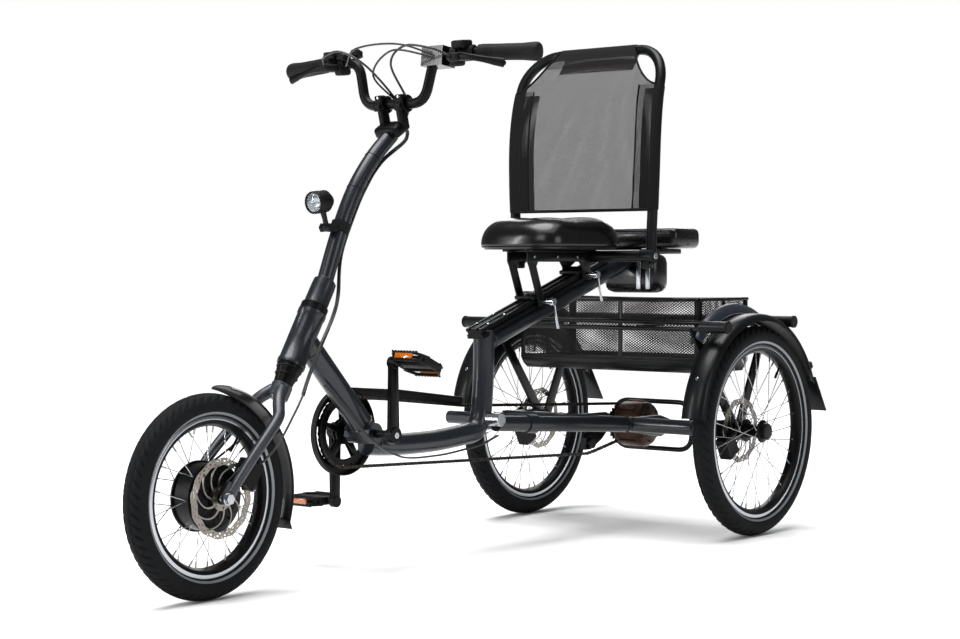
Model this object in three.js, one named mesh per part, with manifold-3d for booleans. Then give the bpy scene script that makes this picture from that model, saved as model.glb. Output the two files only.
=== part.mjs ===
// Adult tricycle: small front wheel with a hub motor, two larger rear wheels, a low step-through
// frame, a sliding comfort saddle with a mesh backrest, and a basket between the rear wheels.
// Millimetres. +X forward, +Y left, +Z up. Lengths in x are counted from the front axle, and the
// whole model is then moved so that the origin is on the ground under the middle of its box.

import * as THREE from 'three';
import { mergeVertices } from 'three/addons/utils/BufferGeometryUtils.js';
import Module from 'manifold-3d';

const wasm = await Module();
wasm.setup();

// ---------------------------------------------------------------- driving dimensions

const MODEL_SHIFT_X = 785.5;          // front axle ahead of the middle of the box
const GAP = 0.3;                      // clearance between pieces that touch

const WHEELBASE = 1474;
const HALF_TRACK = 345;
const FRONT_RADIUS = 202.5;           // 16 x 2.0 tyre
const REAR_RADIUS = 253;              // 20 x 2.0 tyre
const TYRE_SECTION = 25;
const SPOKES = 24;
const ROTOR_RADIUS = 80;

const HEAD_LEAN = 0.6037;             // steering axis: millimetres back for each millimetre up
const HEAD_FOOT = [-192.5, 378];      // point on the steering axis at the fork crown
const FORK_HALF_WIDTH = 60;
const BAR_CENTRE = [-556, 1000];
const BAR_HALF_WIDTH = 350;
const BAR_TUBE = 11.1;
const RISER_TUBE = 17.5;

const CRANK_CENTRE = [-455, 297];
const CRANK_LENGTH = 152;
const PEDAL_TIP = 24;                 // degrees
const CHAIN_PLANE = -55;
const CHAINRING_RADIUS = 76.8;        // 38 teeth
const SPROCKET_RADIUS = 44;           // 22 teeth

const DOWN_TUBE = 25;
const LOW_TUBE = 24;
const SEAT_BEAM = 20;
const BEAM_SLOPE = 0.333;             // rise of the seat beam for each millimetre back
const BEAM_START = [-861, 474];
const BEAM_END_X = -1430;
const RAIL_WIDTH = 46;
const RAIL_HEIGHT = 24;
const RAIL_START_X = -838;
const RAIL_END_X = -1330;

const SADDLE_CENTRE_X = -1108;
const SADDLE_BOTTOM = 690;
const SADDLE_HEIGHT = 77;
const BACKREST_PIVOT = [-1240, 675];
const BACKREST_HALF_WIDTH = 205;
const BACKREST_TOP = 1172;
const BACKREST_TUBE = 12.5;

const BASKET_HALF_WIDTH = 268;
const BASKET_FRONT_X = -1347;
const BASKET_REAR_X = -1565;
const BASKET_BOTTOM = 394;
const BASKET_TOP = 574;

const CARRIER_TUBE = 14;
const CARRIER_ROD = 5.5;
const CARRIER_FRONT = [-1275, 508];
const CARRIER_REAR = [-1610, 514];
const GUARD_CENTRE = [-1464, 260];    // centre of the rear mudguards' arcs
const GUARD_RADIUS = 275;

const BATTERY = { front: -1385, rear: -1500, half: 175, bottom: 694, top: 744 };

// ---------------------------------------------------------------- finishes

function finish(color, roughness, metalness) {
  return () => new THREE.MeshStandardMaterial({ color, roughness, metalness });
}

const FINISH = {
  framePaint: finish(0x2b2f36, 0.3, 0.3),
  forkPaint: finish(0x5a5d61, 0.45, 0.6),
  domePaint: finish(0x343b4b, 0.35, 0.2),
  blackPaint: finish(0x121315, 0.4, 0.2),
  blackAluminium: finish(0x1b1b1d, 0.45, 0.7),
  brightAluminium: finish(0xb9bbbd, 0.35, 0.9),
  rotorSteel: finish(0xa09c96, 0.35, 0.9),
  driveSteel: finish(0x5b4236, 0.5, 0.8),
  chainSteel: finish(0x1c1a19, 0.5, 0.8),
  tyre: finish(0x1a1b1d, 0.85, 0),
  rubber: finish(0x121212, 0.7, 0),
  plastic: finish(0x151618, 0.5, 0),
  glossPlastic: finish(0x0e0f12, 0.2, 0),
  leather: finish(0x101012, 0.35, 0),
  fabric: finish(0x3a3b3f, 0.9, 0),
  lens: finish(0xdfe4ea, 0.1, 0),
};

// ---------------------------------------------------------------- geometry helpers

const v3 = (x, y, z) => new THREE.Vector3(x, y, z);

// A closed geometry as a solid, with its faces pointing out.
function solid(geometry) {
  const bare = geometry.clone();
  bare.deleteAttribute('normal');
  bare.deleteAttribute('uv');
  const merged = mergeVertices(bare, 1e-4);
  const position = merged.getAttribute('position');
  const index = Array.from(merged.index.array);
  const kept = [];
  for (let i = 0; i < index.length; i += 3) {
    const [a, b, c] = [index[i], index[i + 1], index[i + 2]];
    if (a !== b && b !== c && a !== c) kept.push(a, b, c);
  }
  if (signedVolume(position, kept) < 0) {
    for (let i = 0; i < kept.length; i += 3) [kept[i + 1], kept[i + 2]] = [kept[i + 2], kept[i + 1]];
  }
  return new wasm.Manifold(new wasm.Mesh({
    numProp: 3,
    vertProperties: new Float32Array(position.array),
    triVerts: new Uint32Array(kept),
  }));
}

function signedVolume(position, index) {
  const [a, b, c] = [v3(), v3(), v3()];
  let sum = 0;
  for (let i = 0; i < index.length; i += 3) {
    a.fromBufferAttribute(position, index[i]);
    b.fromBufferAttribute(position, index[i + 1]);
    c.fromBufferAttribute(position, index[i + 2]);
    sum += a.dot(b.cross(c));
  }
  return sum / 6;
}

function join(...solids) {
  return solids.flat().reduce((whole, next) => whole.add(next));
}

function cut(body, ...tools) {
  return tools.flat().reduce((whole, tool) => whole.subtract(tool), body);
}

function toGeometry(body) {
  const mesh = body.getMesh();
  const geometry = new THREE.BufferGeometry();
  const positions = new Float32Array(mesh.numVert * 3);
  for (let i = 0; i < mesh.numVert; i += 1) {
    for (let k = 0; k < 3; k += 1) positions[3 * i + k] = mesh.vertProperties[mesh.numProp * i + k];
  }
  geometry.setAttribute('position', new THREE.BufferAttribute(positions, 3));
  geometry.setIndex(new THREE.BufferAttribute(new Uint32Array(mesh.triVerts), 1));
  geometry.computeVertexNormals();
  return geometry;
}

// A round bar from one point to another.
function bar(from, to, radius, sides = 10, endRadius = radius) {
  const start = v3(...from);
  const end = v3(...to);
  const geometry = new THREE.CylinderGeometry(endRadius, radius, start.distanceTo(end), sides);
  const turn = new THREE.Quaternion().setFromUnitVectors(v3(0, 1, 0), end.clone().sub(start).normalize());
  geometry.applyQuaternion(turn);
  geometry.translate(...start.add(end).multiplyScalar(0.5).toArray());
  return solid(geometry);
}

// A bar along y at a place in the side view.
function crossBar([x, z], fromY, toY, radius, sides = 12) {
  return bar([x, fromY, z], [x, toY, z], radius, sides);
}

// A curve through straight runs with a rounded corner at each inner point.
function bentPath(points, bend) {
  const path = new THREE.CurvePath();
  let from = v3(...points[0]);
  for (let i = 1; i < points.length - 1; i += 1) {
    const corner = v3(...points[i]);
    const next = v3(...points[i + 1]);
    const reachIn = Math.min(bend, corner.distanceTo(from) * 0.49);
    const reachOut = Math.min(bend, corner.distanceTo(next) * 0.49);
    const enter = corner.clone().add(from.clone().sub(corner).setLength(reachIn));
    const leave = corner.clone().add(next.clone().sub(corner).setLength(reachOut));
    path.add(new THREE.LineCurve3(from, enter));
    path.add(new THREE.QuadraticBezierCurve3(enter, corner, leave));
    from = leave;
  }
  path.add(new THREE.LineCurve3(from, v3(...points.at(-1))));
  return path;
}

function circle(radius, sides) {
  const shape = new THREE.Shape();
  for (let i = 0; i < sides; i += 1) {
    const angle = (2 * Math.PI * i) / sides;
    const place = [radius * Math.cos(angle), radius * Math.sin(angle)];
    if (i === 0) shape.moveTo(...place);
    else shape.lineTo(...place);
  }
  shape.closePath();
  return shape;
}

// A round tube along a curve, as one solid rod.
function pipe(path, radius, steps = 24, sides = 12) {
  const settings = { steps, extrudePath: path, bevelEnabled: false, curveSegments: 1 };
  return solid(new THREE.ExtrudeGeometry(circle(radius, sides), settings));
}

// A flat outline in the side view (x, z), with its thickness along y.
function sidePlate(outline, fromY, toY, holes = []) {
  const corners = outline.map(([x, z]) => new THREE.Vector2(x, z));
  if (THREE.ShapeUtils.isClockWise(corners)) corners.reverse();
  const shape = new THREE.Shape(corners);
  for (const hole of holes) shape.holes.push(new THREE.Path(hole.map(([x, z]) => new THREE.Vector2(x, z))));
  const geometry = new THREE.ExtrudeGeometry(shape, { depth: toY - fromY, bevelEnabled: false });
  geometry.rotateX(Math.PI / 2);
  geometry.translate(0, toY, 0);
  return solid(geometry);
}

function box(low, high) {
  const size = high.map((value, i) => value - low[i]);
  const geometry = new THREE.BoxGeometry(...size);
  geometry.translate(...low.map((value, i) => value + size[i] / 2));
  return solid(geometry);
}

// A flat outline seen from the front (y, z), with its thickness through the whole length.
function sidePlateAcross(outline) {
  const corners = outline.map(([y, z]) => new THREE.Vector2(y, z));
  if (THREE.ShapeUtils.isClockWise(corners)) corners.reverse();
  const geometry = new THREE.ExtrudeGeometry(new THREE.Shape(corners), { depth: 2400, bevelEnabled: false });
  geometry.applyMatrix4(new THREE.Matrix4().makeBasis(v3(0, 1, 0), v3(0, 0, 1), v3(1, 0, 0)));
  geometry.translate(-2000, 0, 0);
  return solid(geometry);
}

// A box with a centre, a size and a pitch about y.
function slab(centre, size, pitch = 0) {
  const geometry = new THREE.BoxGeometry(...size);
  geometry.rotateY(pitch);
  geometry.translate(...centre);
  return solid(geometry);
}

// A ring or disc turned about the wheel axis: the profile is [radius, y] points.
function turned(profile, [x, z], segments = 40) {
  const points = profile.map(([r, y]) => new THREE.Vector2(r, y));
  const geometry = new THREE.LatheGeometry(points, segments);
  geometry.translate(x, 0, z);
  return solid(geometry);
}

// Part of a turned ring, from one angle to another (degrees from +X towards +Z).
function arc(profile, [cx, cz], fromDegrees, toDegrees, segments) {
  const outline = profile.map(([r, y]) => new THREE.Vector2(r, y));
  if (THREE.ShapeUtils.isClockWise(outline)) outline.reverse();
  const caps = THREE.ShapeUtils.triangulateShape(outline, []);
  const count = outline.length;
  const positions = [];
  const index = [];
  for (let i = 0; i <= segments; i += 1) {
    const angle = THREE.MathUtils.degToRad(fromDegrees + ((toDegrees - fromDegrees) * i) / segments);
    for (const { x: r, y } of outline) positions.push(cx + r * Math.cos(angle), y, cz + r * Math.sin(angle));
  }
  for (let i = 0; i < segments; i += 1) {
    for (let k = 0; k < count; k += 1) {
      const a = i * count + k;
      const b = i * count + ((k + 1) % count);
      index.push(a, b, a + count, b, b + count, a + count);
    }
  }
  const last = segments * count;
  for (const [a, b, c] of caps) index.push(a, c, b, last + a, last + b, last + c);
  const geometry = new THREE.BufferGeometry();
  geometry.setAttribute('position', new THREE.Float32BufferAttribute(positions, 3));
  geometry.setIndex(index);
  return solid(geometry);
}

const tricycle = new THREE.Group();
tricycle.position.x = MODEL_SHIFT_X;

function part(name, body, material) {
  const mesh = new THREE.Mesh(toGeometry(body), material());
  mesh.name = name;
  tricycle.add(mesh);
}

// ---------------------------------------------------------------- steering axis

const headX = (z) => HEAD_FOOT[0] - HEAD_LEAN * (z - HEAD_FOOT[1]);
const onHead = (z) => [headX(z), 0, z];
const headBar = (z0, z1, radius, sides = 20) => bar(onHead(z0), onHead(z1), radius, sides);

// ---------------------------------------------------------------- frame

const beamZ = (x) => BEAM_START[1] + BEAM_SLOPE * (BEAM_START[0] - x);
const beamAngle = Math.atan(BEAM_SLOPE);
// A point above the seat beam's axis, at a distance square to the beam.
const overBeam = (x, lift) => [x + lift * Math.sin(beamAngle), beamZ(x) + lift * Math.cos(beamAngle)];

function railSolid(extra) {
  const lift = SEAT_BEAM + GAP + RAIL_HEIGHT / 2;
  const middle = overBeam((RAIL_START_X + RAIL_END_X) / 2, lift);
  const length = (RAIL_START_X - RAIL_END_X) / Math.cos(beamAngle) + 2 * extra;
  const size = [length, RAIL_WIDTH + 2 * extra, RAIL_HEIGHT + 2 * extra];
  return slab([middle[0], 0, middle[1]], size, beamAngle);
}

const lowTubePath = bentPath([
  [-462, 0, 272], [-560, 0, 264], [-700, 0, 264], [-848, 0, 276], [-861, 0, 400], [-861, 0, 506],
], 90);
const lowTube = (extra) => pipe(lowTubePath, LOW_TUBE + extra, 18, 10);
const seatBeam = (extra) => bar([BEAM_START[0] + 12, 0, beamZ(BEAM_START[0] + 12)],
  [BEAM_END_X, 0, beamZ(BEAM_END_X)], SEAT_BEAM + extra, 10);

const headTube = cut(headBar(450, 553, 28.5, 16), headBar(440, 560, 24, 16));
const downTube = cut(bar([-272, 0, 503], [-468, 0, 296], DOWN_TUBE, 10), headBar(430, 580, 26.5, 16));
const bracketShell = crossBar(CRANK_CENTRE, -36, 36, 22);
const crankBore = crossBar(CRANK_CENTRE, -60, 60, 14);
const frameGusset = sidePlate([[-300, 440], [-300, 475], [-330, 440], [-345, 405]], -6, 6);
const mainFrame = cut(
  join(headTube, downTube, lowTube(0), bracketShell, seatBeam(0), frameGusset),
  crankBore, railSolid(GAP),
);
part('main_frame', mainFrame, FINISH.framePaint);

// Aluminium rail with two long grooves for the seat clamps.
const railGroove = (y, lift) => {
  const middle = overBeam((RAIL_START_X + RAIL_END_X) / 2, lift);
  return slab([middle[0], y, middle[1]], [560, 7, 7], beamAngle);
};
const railTop = SEAT_BEAM + GAP + RAIL_HEIGHT;
const seatRail = cut(railSolid(0), railGroove(-11, railTop), railGroove(11, railTop),
  railGroove(-RAIL_WIDTH / 2, railTop - 11), railGroove(RAIL_WIDTH / 2, railTop - 11));
part('seat_rail', seatRail, FINISH.blackAluminium);

// Rear frame: a cross tube at the bend, two stays, a transverse tube, plates and axle housings.
const REAR_AXLE = [-WHEELBASE, REAR_RADIUS];
const TRANSVERSE = [-1305, 267];
const housingBore = (side) => crossBar(REAR_AXLE, side * 60, side * 310, 11, 12);
function rearSide(side) {
  const stay = bar([-868, side * 30, 293], [TRANSVERSE[0], side * 100, TRANSVERSE[1]], 18.5, 10);
  const clampRing = bar([-960, side * 44.6, 287.5], [-990, side * 49.3, 285.6], 22, 10);
  const endPlate = sidePlate([[-1290, 250], [-1290, 284], [-1462, 278], [-1494, 262], [-1494, 244],
    [-1462, 229]], side * 283 - 4, side * 283 + 4);
  const drivePlate = sidePlate([[-1290, 252], [-1290, 282], [-1455, 280], [-1496, 268], [-1496, 238],
    [-1455, 226]], side * 84 - 4, side * 84 + 4);
  const housing = crossBar(REAR_AXLE, side * 82, side * 287, 16, 12);
  return cut(join(stay, clampRing, endPlate, drivePlate, housing), housingBore(side));
}
const rearFrame = cut(join(
  crossBar([-852, 303], -95, 60, 15, 10),
  crossBar(TRANSVERSE, -284, 284, 18, 10),
  rearSide(1),
  rearSide(-1),
), lowTube(GAP));
part('rear_frame', rearFrame, FINISH.framePaint);

// Black carrier: two cross tubes over the wheels, held by V-shaped legs on the axle housings.
function carrierSolid(extra) {
  const legs = [1, -1].flatMap((side) => {
    const [from, to] = [side * 294 - 3.5 - extra, side * 294 + 3.5 + extra];
    const w = 14 + extra;
    return [
      sidePlate([[-1275 + w, 505], [-1275 - w, 505], [-1480, 262], [-1452, 250]], from, to),
      sidePlate([[-1610 + w, 510], [-1610 - w, 510], [-1500, 255], [-1470, 262]], from, to),
      crossBar(REAR_AXLE, from, to, 26 + extra, 16),
    ];
  });
  const tabs = [150, -150].flatMap((y) => [
    box([BASKET_FRONT_X + GAP, y - 15, 506], [CARRIER_FRONT[0] - 8, y + 15, 510]),
    box([CARRIER_FRONT[0] - 26, y - 15, 500], [CARRIER_FRONT[0], y + 15, 514]),
    box([CARRIER_REAR[0], y - 15, 506], [BASKET_REAR_X - GAP, y + 15, 510]),
  ]);
  return join(
    tabs,
    crossBar(CARRIER_FRONT, 320 - extra, 392 + extra, CARRIER_TUBE + extra, 12),
    crossBar(CARRIER_FRONT, -392 - extra, -320 + extra, CARRIER_TUBE + extra, 12),
    crossBar([CARRIER_FRONT[0], CARRIER_FRONT[1] - 6], -330, 330, CARRIER_ROD + extra, 10),
    crossBar([CARRIER_FRONT[0] - 20, CARRIER_FRONT[1] + 9], -330, 330, CARRIER_ROD + extra, 10),
    [325, -325].map((y) => box([CARRIER_FRONT[0] - 22, y - 4, 500], [CARRIER_FRONT[0], y + 4, 519])),
    crossBar(CARRIER_REAR, -372 - extra, 372 + extra, CARRIER_TUBE + extra, 12),
    legs,
  );
}
const carrierCaps = [
  [CARRIER_FRONT, 392], [CARRIER_REAR, 372],
].flatMap(([place, end]) => [1, -1].map((side) => crossBar(place, side * end, side * (end + 6), 14, 12)));
const axleHole = crossBar(REAR_AXLE, -310, 310, 12, 12);
part('rear_carrier', cut(join(carrierSolid(0), carrierCaps), axleHole), FINISH.blackPaint);

// Bent tube that guards the drive from behind, on two stubs from the axle housings.
const HOOP = { x: -1550, half: 116, low: 186, high: 306 };
function driveGuard() {
  const { x, half, low, high } = HOOP;
  const leftHalf = bentPath([[x, 0, high], [x, half, high], [x, half, low], [x, 0, low]], 42);
  const rightHalf = bentPath([[x, 0, high], [x, -half, high], [x, -half, low], [x, 0, low]], 42);
  const stubs = [1, -1].map((side) => bar([-1474 - 16.4, side * half, REAR_RADIUS],
    [x, side * half, REAR_RADIUS], 6, 8));
  return join(pipe(leftHalf, 6.5, 11, 8), pipe(rightHalf, 6.5, 11, 8), stubs);
}
part('drive_guard_hoop', cut(driveGuard(), crossBar(REAR_AXLE, -300, 300, 16.4, 12)), FINISH.blackPaint);

// ---------------------------------------------------------------- wheels

function tyre(radius, middleY, centre) {
  const ring = [];
  for (let i = 0; i <= 6; i += 1) {
    const angle = THREE.MathUtils.degToRad(-52 + (284 * i) / 6);
    ring.push([radius + TYRE_SECTION * (Math.sin(angle) - 1), middleY + TYRE_SECTION * Math.cos(angle)]);
  }
  ring.push(ring[0]);
  return turned(ring, centre, WHEEL_SEGMENTS);
}

const rimOuter = (radius) => radius - 1.8 * TYRE_SECTION;
const rimInner = (radius) => rimOuter(radius) - 14;
const WHEEL_SEGMENTS = 36;
// Reach of the spokes: just short of the flats between the rim's corners.
const spokeReach = (radius) => rimInner(radius) * Math.cos(Math.PI / WHEEL_SEGMENTS) - 2 * GAP;

function rim(radius, middleY, centre) {
  const outer = rimOuter(radius);
  const profile = [
    [outer, middleY - 15], [outer, middleY + 15], [outer - 10, middleY + 14],
    [outer - 14, middleY + 7], [outer - 14, middleY - 7], [outer - 10, middleY - 14],
    [outer, middleY - 15],
  ];
  return turned(profile, centre, WHEEL_SEGMENTS);
}

// Spokes from two hub flanges to the rim.
function spokes(flangeRadius, flangeHalf, reach, middleY, [cx, cz]) {
  const wires = [];
  for (let i = 0; i < SPOKES; i += 1) {
    const side = i % 2 ? 1 : -1;
    const angle = (2 * Math.PI * i) / SPOKES;
    const low = [cx + flangeRadius * Math.cos(angle), middleY + side * flangeHalf,
      cz + flangeRadius * Math.sin(angle)];
    const high = [cx + reach * Math.cos(angle), middleY + side * 2.5, cz + reach * Math.sin(angle)];
    wires.push(bar(low, high, 1.4, 3));
  }
  return wires;
}

// Hub motor in the front wheel.
const FRONT_AXLE = [0, FRONT_RADIUS];
const motorShell = turned([[0, -46], [24, -46], [26, -38], [58, -33], [68, -26], [68, 26], [58, 33],
  [26, 36], [22, 40], [0, 40]], FRONT_AXLE, 18);
const motorHub = join(motorShell, spokes(66, 24, spokeReach(FRONT_RADIUS), 0, FRONT_AXLE));
const axleEnds = crossBar(FRONT_AXLE, -80, 80, 6.2);
part('front_tyre', tyre(FRONT_RADIUS, 0, FRONT_AXLE), FINISH.tyre);
part('front_rim', rim(FRONT_RADIUS, 0, FRONT_AXLE), FINISH.brightAluminium);
part('front_motor_hub', cut(motorHub, axleEnds), FINISH.blackAluminium);
part('front_rotor', turned([[23, 43], [ROTOR_RADIUS, 43], [ROTOR_RADIUS, 45], [23, 45], [23, 43]],
  FRONT_AXLE, 24), FINISH.rotorSteel);

for (const [name, side] of [['left', 1], ['right', -1]]) {
  const middle = side * HALF_TRACK;
  const flip = (profile) => profile.map(([r, y]) => [r, side * y]);
  part(`rear_tyre_${name}`, tyre(REAR_RADIUS, middle, REAR_AXLE), FINISH.tyre);
  part(`rear_rim_${name}`, rim(REAR_RADIUS, middle, REAR_AXLE), FINISH.brightAluminium);
  const hubShell = turned(flip([[0, 80], [10, 80], [10, 312], [21, 312], [21, 318], [27, 320],
    [27, 324], [17, 326], [17, 364], [27, 366], [27, 370], [20, 372], [20, 384], [0, 384]]), REAR_AXLE, 12);
  const wires = spokes(25, 22.5, spokeReach(REAR_RADIUS), middle, REAR_AXLE);
  part(`rear_hub_${name}`, join(hubShell, wires), FINISH.blackAluminium);
  const rotor = flip([[10.3, 307], [14, 306], [ROTOR_RADIUS, 306], [ROTOR_RADIUS, 308], [22, 308],
    [22, 311.6], [10.3, 311.6], [10.3, 307]]);
  part(`rear_rotor_${name}`, turned(rotor, REAR_AXLE, 24), FINISH.rotorSteel);
}

// ---------------------------------------------------------------- rear mudguards and wheel covers

for (const [name, side] of [['left', 1], ['right', -1]]) {
  const flip = (profile) => profile.map(([r, y]) => [r, side * y]);
  const section = [[261, 314], [271, 318], [GUARD_RADIUS, 328], [GUARD_RADIUS, 362], [271, 372], [261, 376],
    [261, 372.5], [272, 361], [272, 329], [261, 317.5]];
  const band = arc(flip(section), GUARD_CENTRE, 8, 158, 18);
  const flap = slab([-1743, side * 345, 330], [5, 62, 104], Math.atan2(52, 80));
  const keep = cut(flap, arc(flip([[150, 300], [273, 300], [273, 390], [150, 390]]), GUARD_CENTRE, 130, 180, 6));
  part(`rear_mudguard_${name}`, cut(join(band, keep), carrierSolid(GAP)), FINISH.blackPaint);
  const dome = [[268, 279], [292, 279], [302, 288], [302, 296], [276.5, 313], [276.5, 309.5],
    [298, 294], [298, 289], [290, 282.5], [268, 282.5]];
  part(`wheel_cover_${name}`, cut(arc(flip(dome), GUARD_CENTRE, 51, 118, 12), carrierSolid(GAP)),
    FINISH.domePaint);
}

// ---------------------------------------------------------------- basket

// Open-topped basket between the wheels, narrower and shallower towards its floor.
function basketShell() {
  const section = (inset, drop) => [
    [BASKET_FRONT_X - inset, BASKET_TOP + drop], [BASKET_REAR_X + inset, BASKET_TOP + drop],
    [BASKET_REAR_X + inset, BASKET_BOTTOM + 24 + inset], [BASKET_REAR_X + 24 + inset, BASKET_BOTTOM + inset],
    [BASKET_FRONT_X - 24 - inset, BASKET_BOTTOM + inset], [BASKET_FRONT_X - inset, BASKET_BOTTOM + 24 + inset],
  ];
  const wall = 3;
  const outside = sidePlate(section(0, 0), -BASKET_HALF_WIDTH, BASKET_HALF_WIDTH);
  const inside = sidePlate(section(wall, 20), -BASKET_HALF_WIDTH + wall, BASKET_HALF_WIDTH - wall);
  const rimOuter = box([BASKET_REAR_X - 5, -BASKET_HALF_WIDTH - 5, BASKET_TOP - 10],
    [BASKET_FRONT_X + 5, BASKET_HALF_WIDTH + 5, BASKET_TOP]);
  return cut(join(outside, rimOuter), inside);
}
part('basket', cut(basketShell(), carrierSolid(GAP)), FINISH.plastic);

// ---------------------------------------------------------------- drive

const chainringBand = [[CHAINRING_RADIUS - 17, -57], [CHAINRING_RADIUS - 5, -57], [CHAINRING_RADIUS - 5, -53],
  [CHAINRING_RADIUS - 17, -53], [CHAINRING_RADIUS - 17, -57]];
const chainringHub = [[9.4, -58], [26, -58], [26, -52], [9.4, -52], [9.4, -58]];
const spider = [18, 90, 162, 234, 306].map((degrees) => {
  const angle = THREE.MathUtils.degToRad(degrees);
  const at = (r) => [CRANK_CENTRE[0] + r * Math.cos(angle), -55, CRANK_CENTRE[1] + r * Math.sin(angle)];
  return bar(at(20), at(CHAINRING_RADIUS - 12), 2.6, 6);
});
part('chainring', join(turned(chainringBand, CRANK_CENTRE, 24), turned(chainringHub, CRANK_CENTRE, 18), spider),
  FINISH.blackAluminium);

function crankArm(side) {
  // The left arm stands up and the right arm hangs down.
  const [x, z] = CRANK_CENTRE;
  const tip = z + side * CRANK_LENGTH;
  const y = side * 84;
  const arm = sidePlate([[x - 15, z - side * 14], [x + 15, z - side * 14], [x + 13, z + side * 30],
    [x + 11, tip + side * 12], [x - 11, tip + side * 12], [x - 13, z + side * 30]], y - 6.5, y + 6.5);
  const boss = crossBar(CRANK_CENTRE, y - 10, y + 10, 17);
  const eye = crossBar([x, tip], y - 8, y + 8, 13);
  return join(arm, boss, eye);
}
part('crank_left', join(crankArm(1), crossBar(CRANK_CENTRE, -73.5, 80, 9)), FINISH.blackAluminium);
part('crank_right', cut(crankArm(-1), crossBar(CRANK_CENTRE, -73.2, 90, 30)), FINISH.blackAluminium);

function pedal(side) {
  const [x, z] = [CRANK_CENTRE[0], CRANK_CENTRE[1] + side * CRANK_LENGTH];
  const inner = side * 102;
  const outer = side * 196;
  const [fromY, toY] = [Math.min(inner, outer), Math.max(inner, outer)];
  const body = sidePlate([[x - 42, z - 9], [x + 42, z - 9], [x + 47, z], [x + 42, z + 9], [x - 42, z + 9],
    [x - 47, z]], fromY, toY);
  const window = (x0, x1) => box([x0, fromY + 18, z - 20], [x1, toY - 18, z + 20]);
  const spindle = crossBar([x, z], side * 92.4, side * 150, 7);
  const cage = cut(body, window(x - 34, x - 13), window(x + 13, x + 34));
  // The left pedal rests tipped, with its front edge up.
  const tipped = cage.translate(-x, 0, -z).rotate(0, side > 0 ? -PEDAL_TIP : 0, 0).translate(x, 0, z);
  return join(tipped, spindle);
}
part('pedal_left', pedal(1), FINISH.plastic);
part('pedal_right', pedal(-1), FINISH.plastic);

// The chain's loop as one flat band, round the chainring, the tensioner and the rear sprocket.
function chainLoop() {
  const points = [];
  const round = ([cx, cz], radius, from, to, steps) => {
    for (let i = 0; i <= steps; i += 1) {
      const angle = THREE.MathUtils.degToRad(from + ((to - from) * i) / steps);
      points.push(new THREE.Vector2(cx + radius * Math.cos(angle), cz + radius * Math.sin(angle)));
    }
  };
  round(CRANK_CENTRE, CHAINRING_RADIUS, 95, -88, 18);
  points.push(new THREE.Vector2(-1340, 184));
  points.push(new THREE.Vector2(-1378, 190));
  round(REAR_AXLE, SPROCKET_RADIUS + 5, 285 - 360, 85 - 360, 14);
  points.push(new THREE.Vector2(-1266, 311));
  points.push(new THREE.Vector2(-852, 331));
  const half = 3.8;
  const outer = offsetLoop(points, -half);
  const inner = offsetLoop(points, half);
  return sidePlate(outer.map(({ x, y }) => [x, y]), CHAIN_PLANE - 3, CHAIN_PLANE + 3,
    [inner.map(({ x, y }) => [x, y])]);
}

// A closed outline moved sideways by the same distance at every corner.
function offsetLoop(points, distance) {
  return points.map((point, i) => {
    const before = points.at(i - 1);
    const after = points[(i + 1) % points.length];
    const incoming = point.clone().sub(before).normalize();
    const outgoing = after.clone().sub(point).normalize();
    const normal = new THREE.Vector2(incoming.y + outgoing.y, -incoming.x - outgoing.x).normalize();
    const stretch = Math.max(0.5, normal.dot(new THREE.Vector2(incoming.y, -incoming.x)));
    return point.clone().addScaledVector(normal, distance / stretch);
  });
}
part('chain', chainLoop(), FINISH.chainSteel);

// Chain guard: a ring outside the chainring and a flat bar over the upper run.
const guardRing = cut(crossBar(CRANK_CENTRE, -67, -64, 92, 24), crossBar(CRANK_CENTRE, -70, -60, 62, 24));
const guardArms = [20, 140, 260].map((degrees) => {
  const angle = THREE.MathUtils.degToRad(degrees);
  const at = (r) => [CRANK_CENTRE[0] + r * Math.cos(angle), -65.5, CRANK_CENTRE[1] + r * Math.sin(angle)];
  return bar(at(24), at(70), 1.5, 6);
});
const guardBar = sidePlate([[-470, 399], [-852, 350], [-856, 338], [-846, 326], [-470, 372]], -71, -64);
const guardCollar = cut(crossBar(CRANK_CENTRE, -67, -64, 26, 16), crossBar(CRANK_CENTRE, -70, -60, 19, 16));
part('chain_guard', join(guardRing, guardArms, guardBar, guardCollar), FINISH.plastic);

// Differential between the rear wheels, with the drive sprocket on its right end.
part('differential', turned([[0, -78], [14, -78], [14, -60], [SPROCKET_RADIUS, -58],
  [SPROCKET_RADIUS, -52], [22, -50], [22, -42], [50, -38], [56, -30], [56, 30], [50, 38], [26, 42],
  [26, 56], [14, 60], [14, 78], [0, 78]], REAR_AXLE, 14), FINISH.driveSteel);

// Chain tensioner, fixed beside the right drive plate.
const tensionerBody = sidePlate([[-1440, 236], [-1400, 252], [-1348, 222], [-1342, 192], [-1366, 192],
  [-1412, 214]], -79.5, -63);
const tensionerPulley = crossBar([-1362, 208], -66, -53, 13, 14);
part('chain_tensioner', join(tensionerBody, tensionerPulley), FINISH.blackAluminium);

// ---------------------------------------------------------------- fork and steering column

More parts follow.
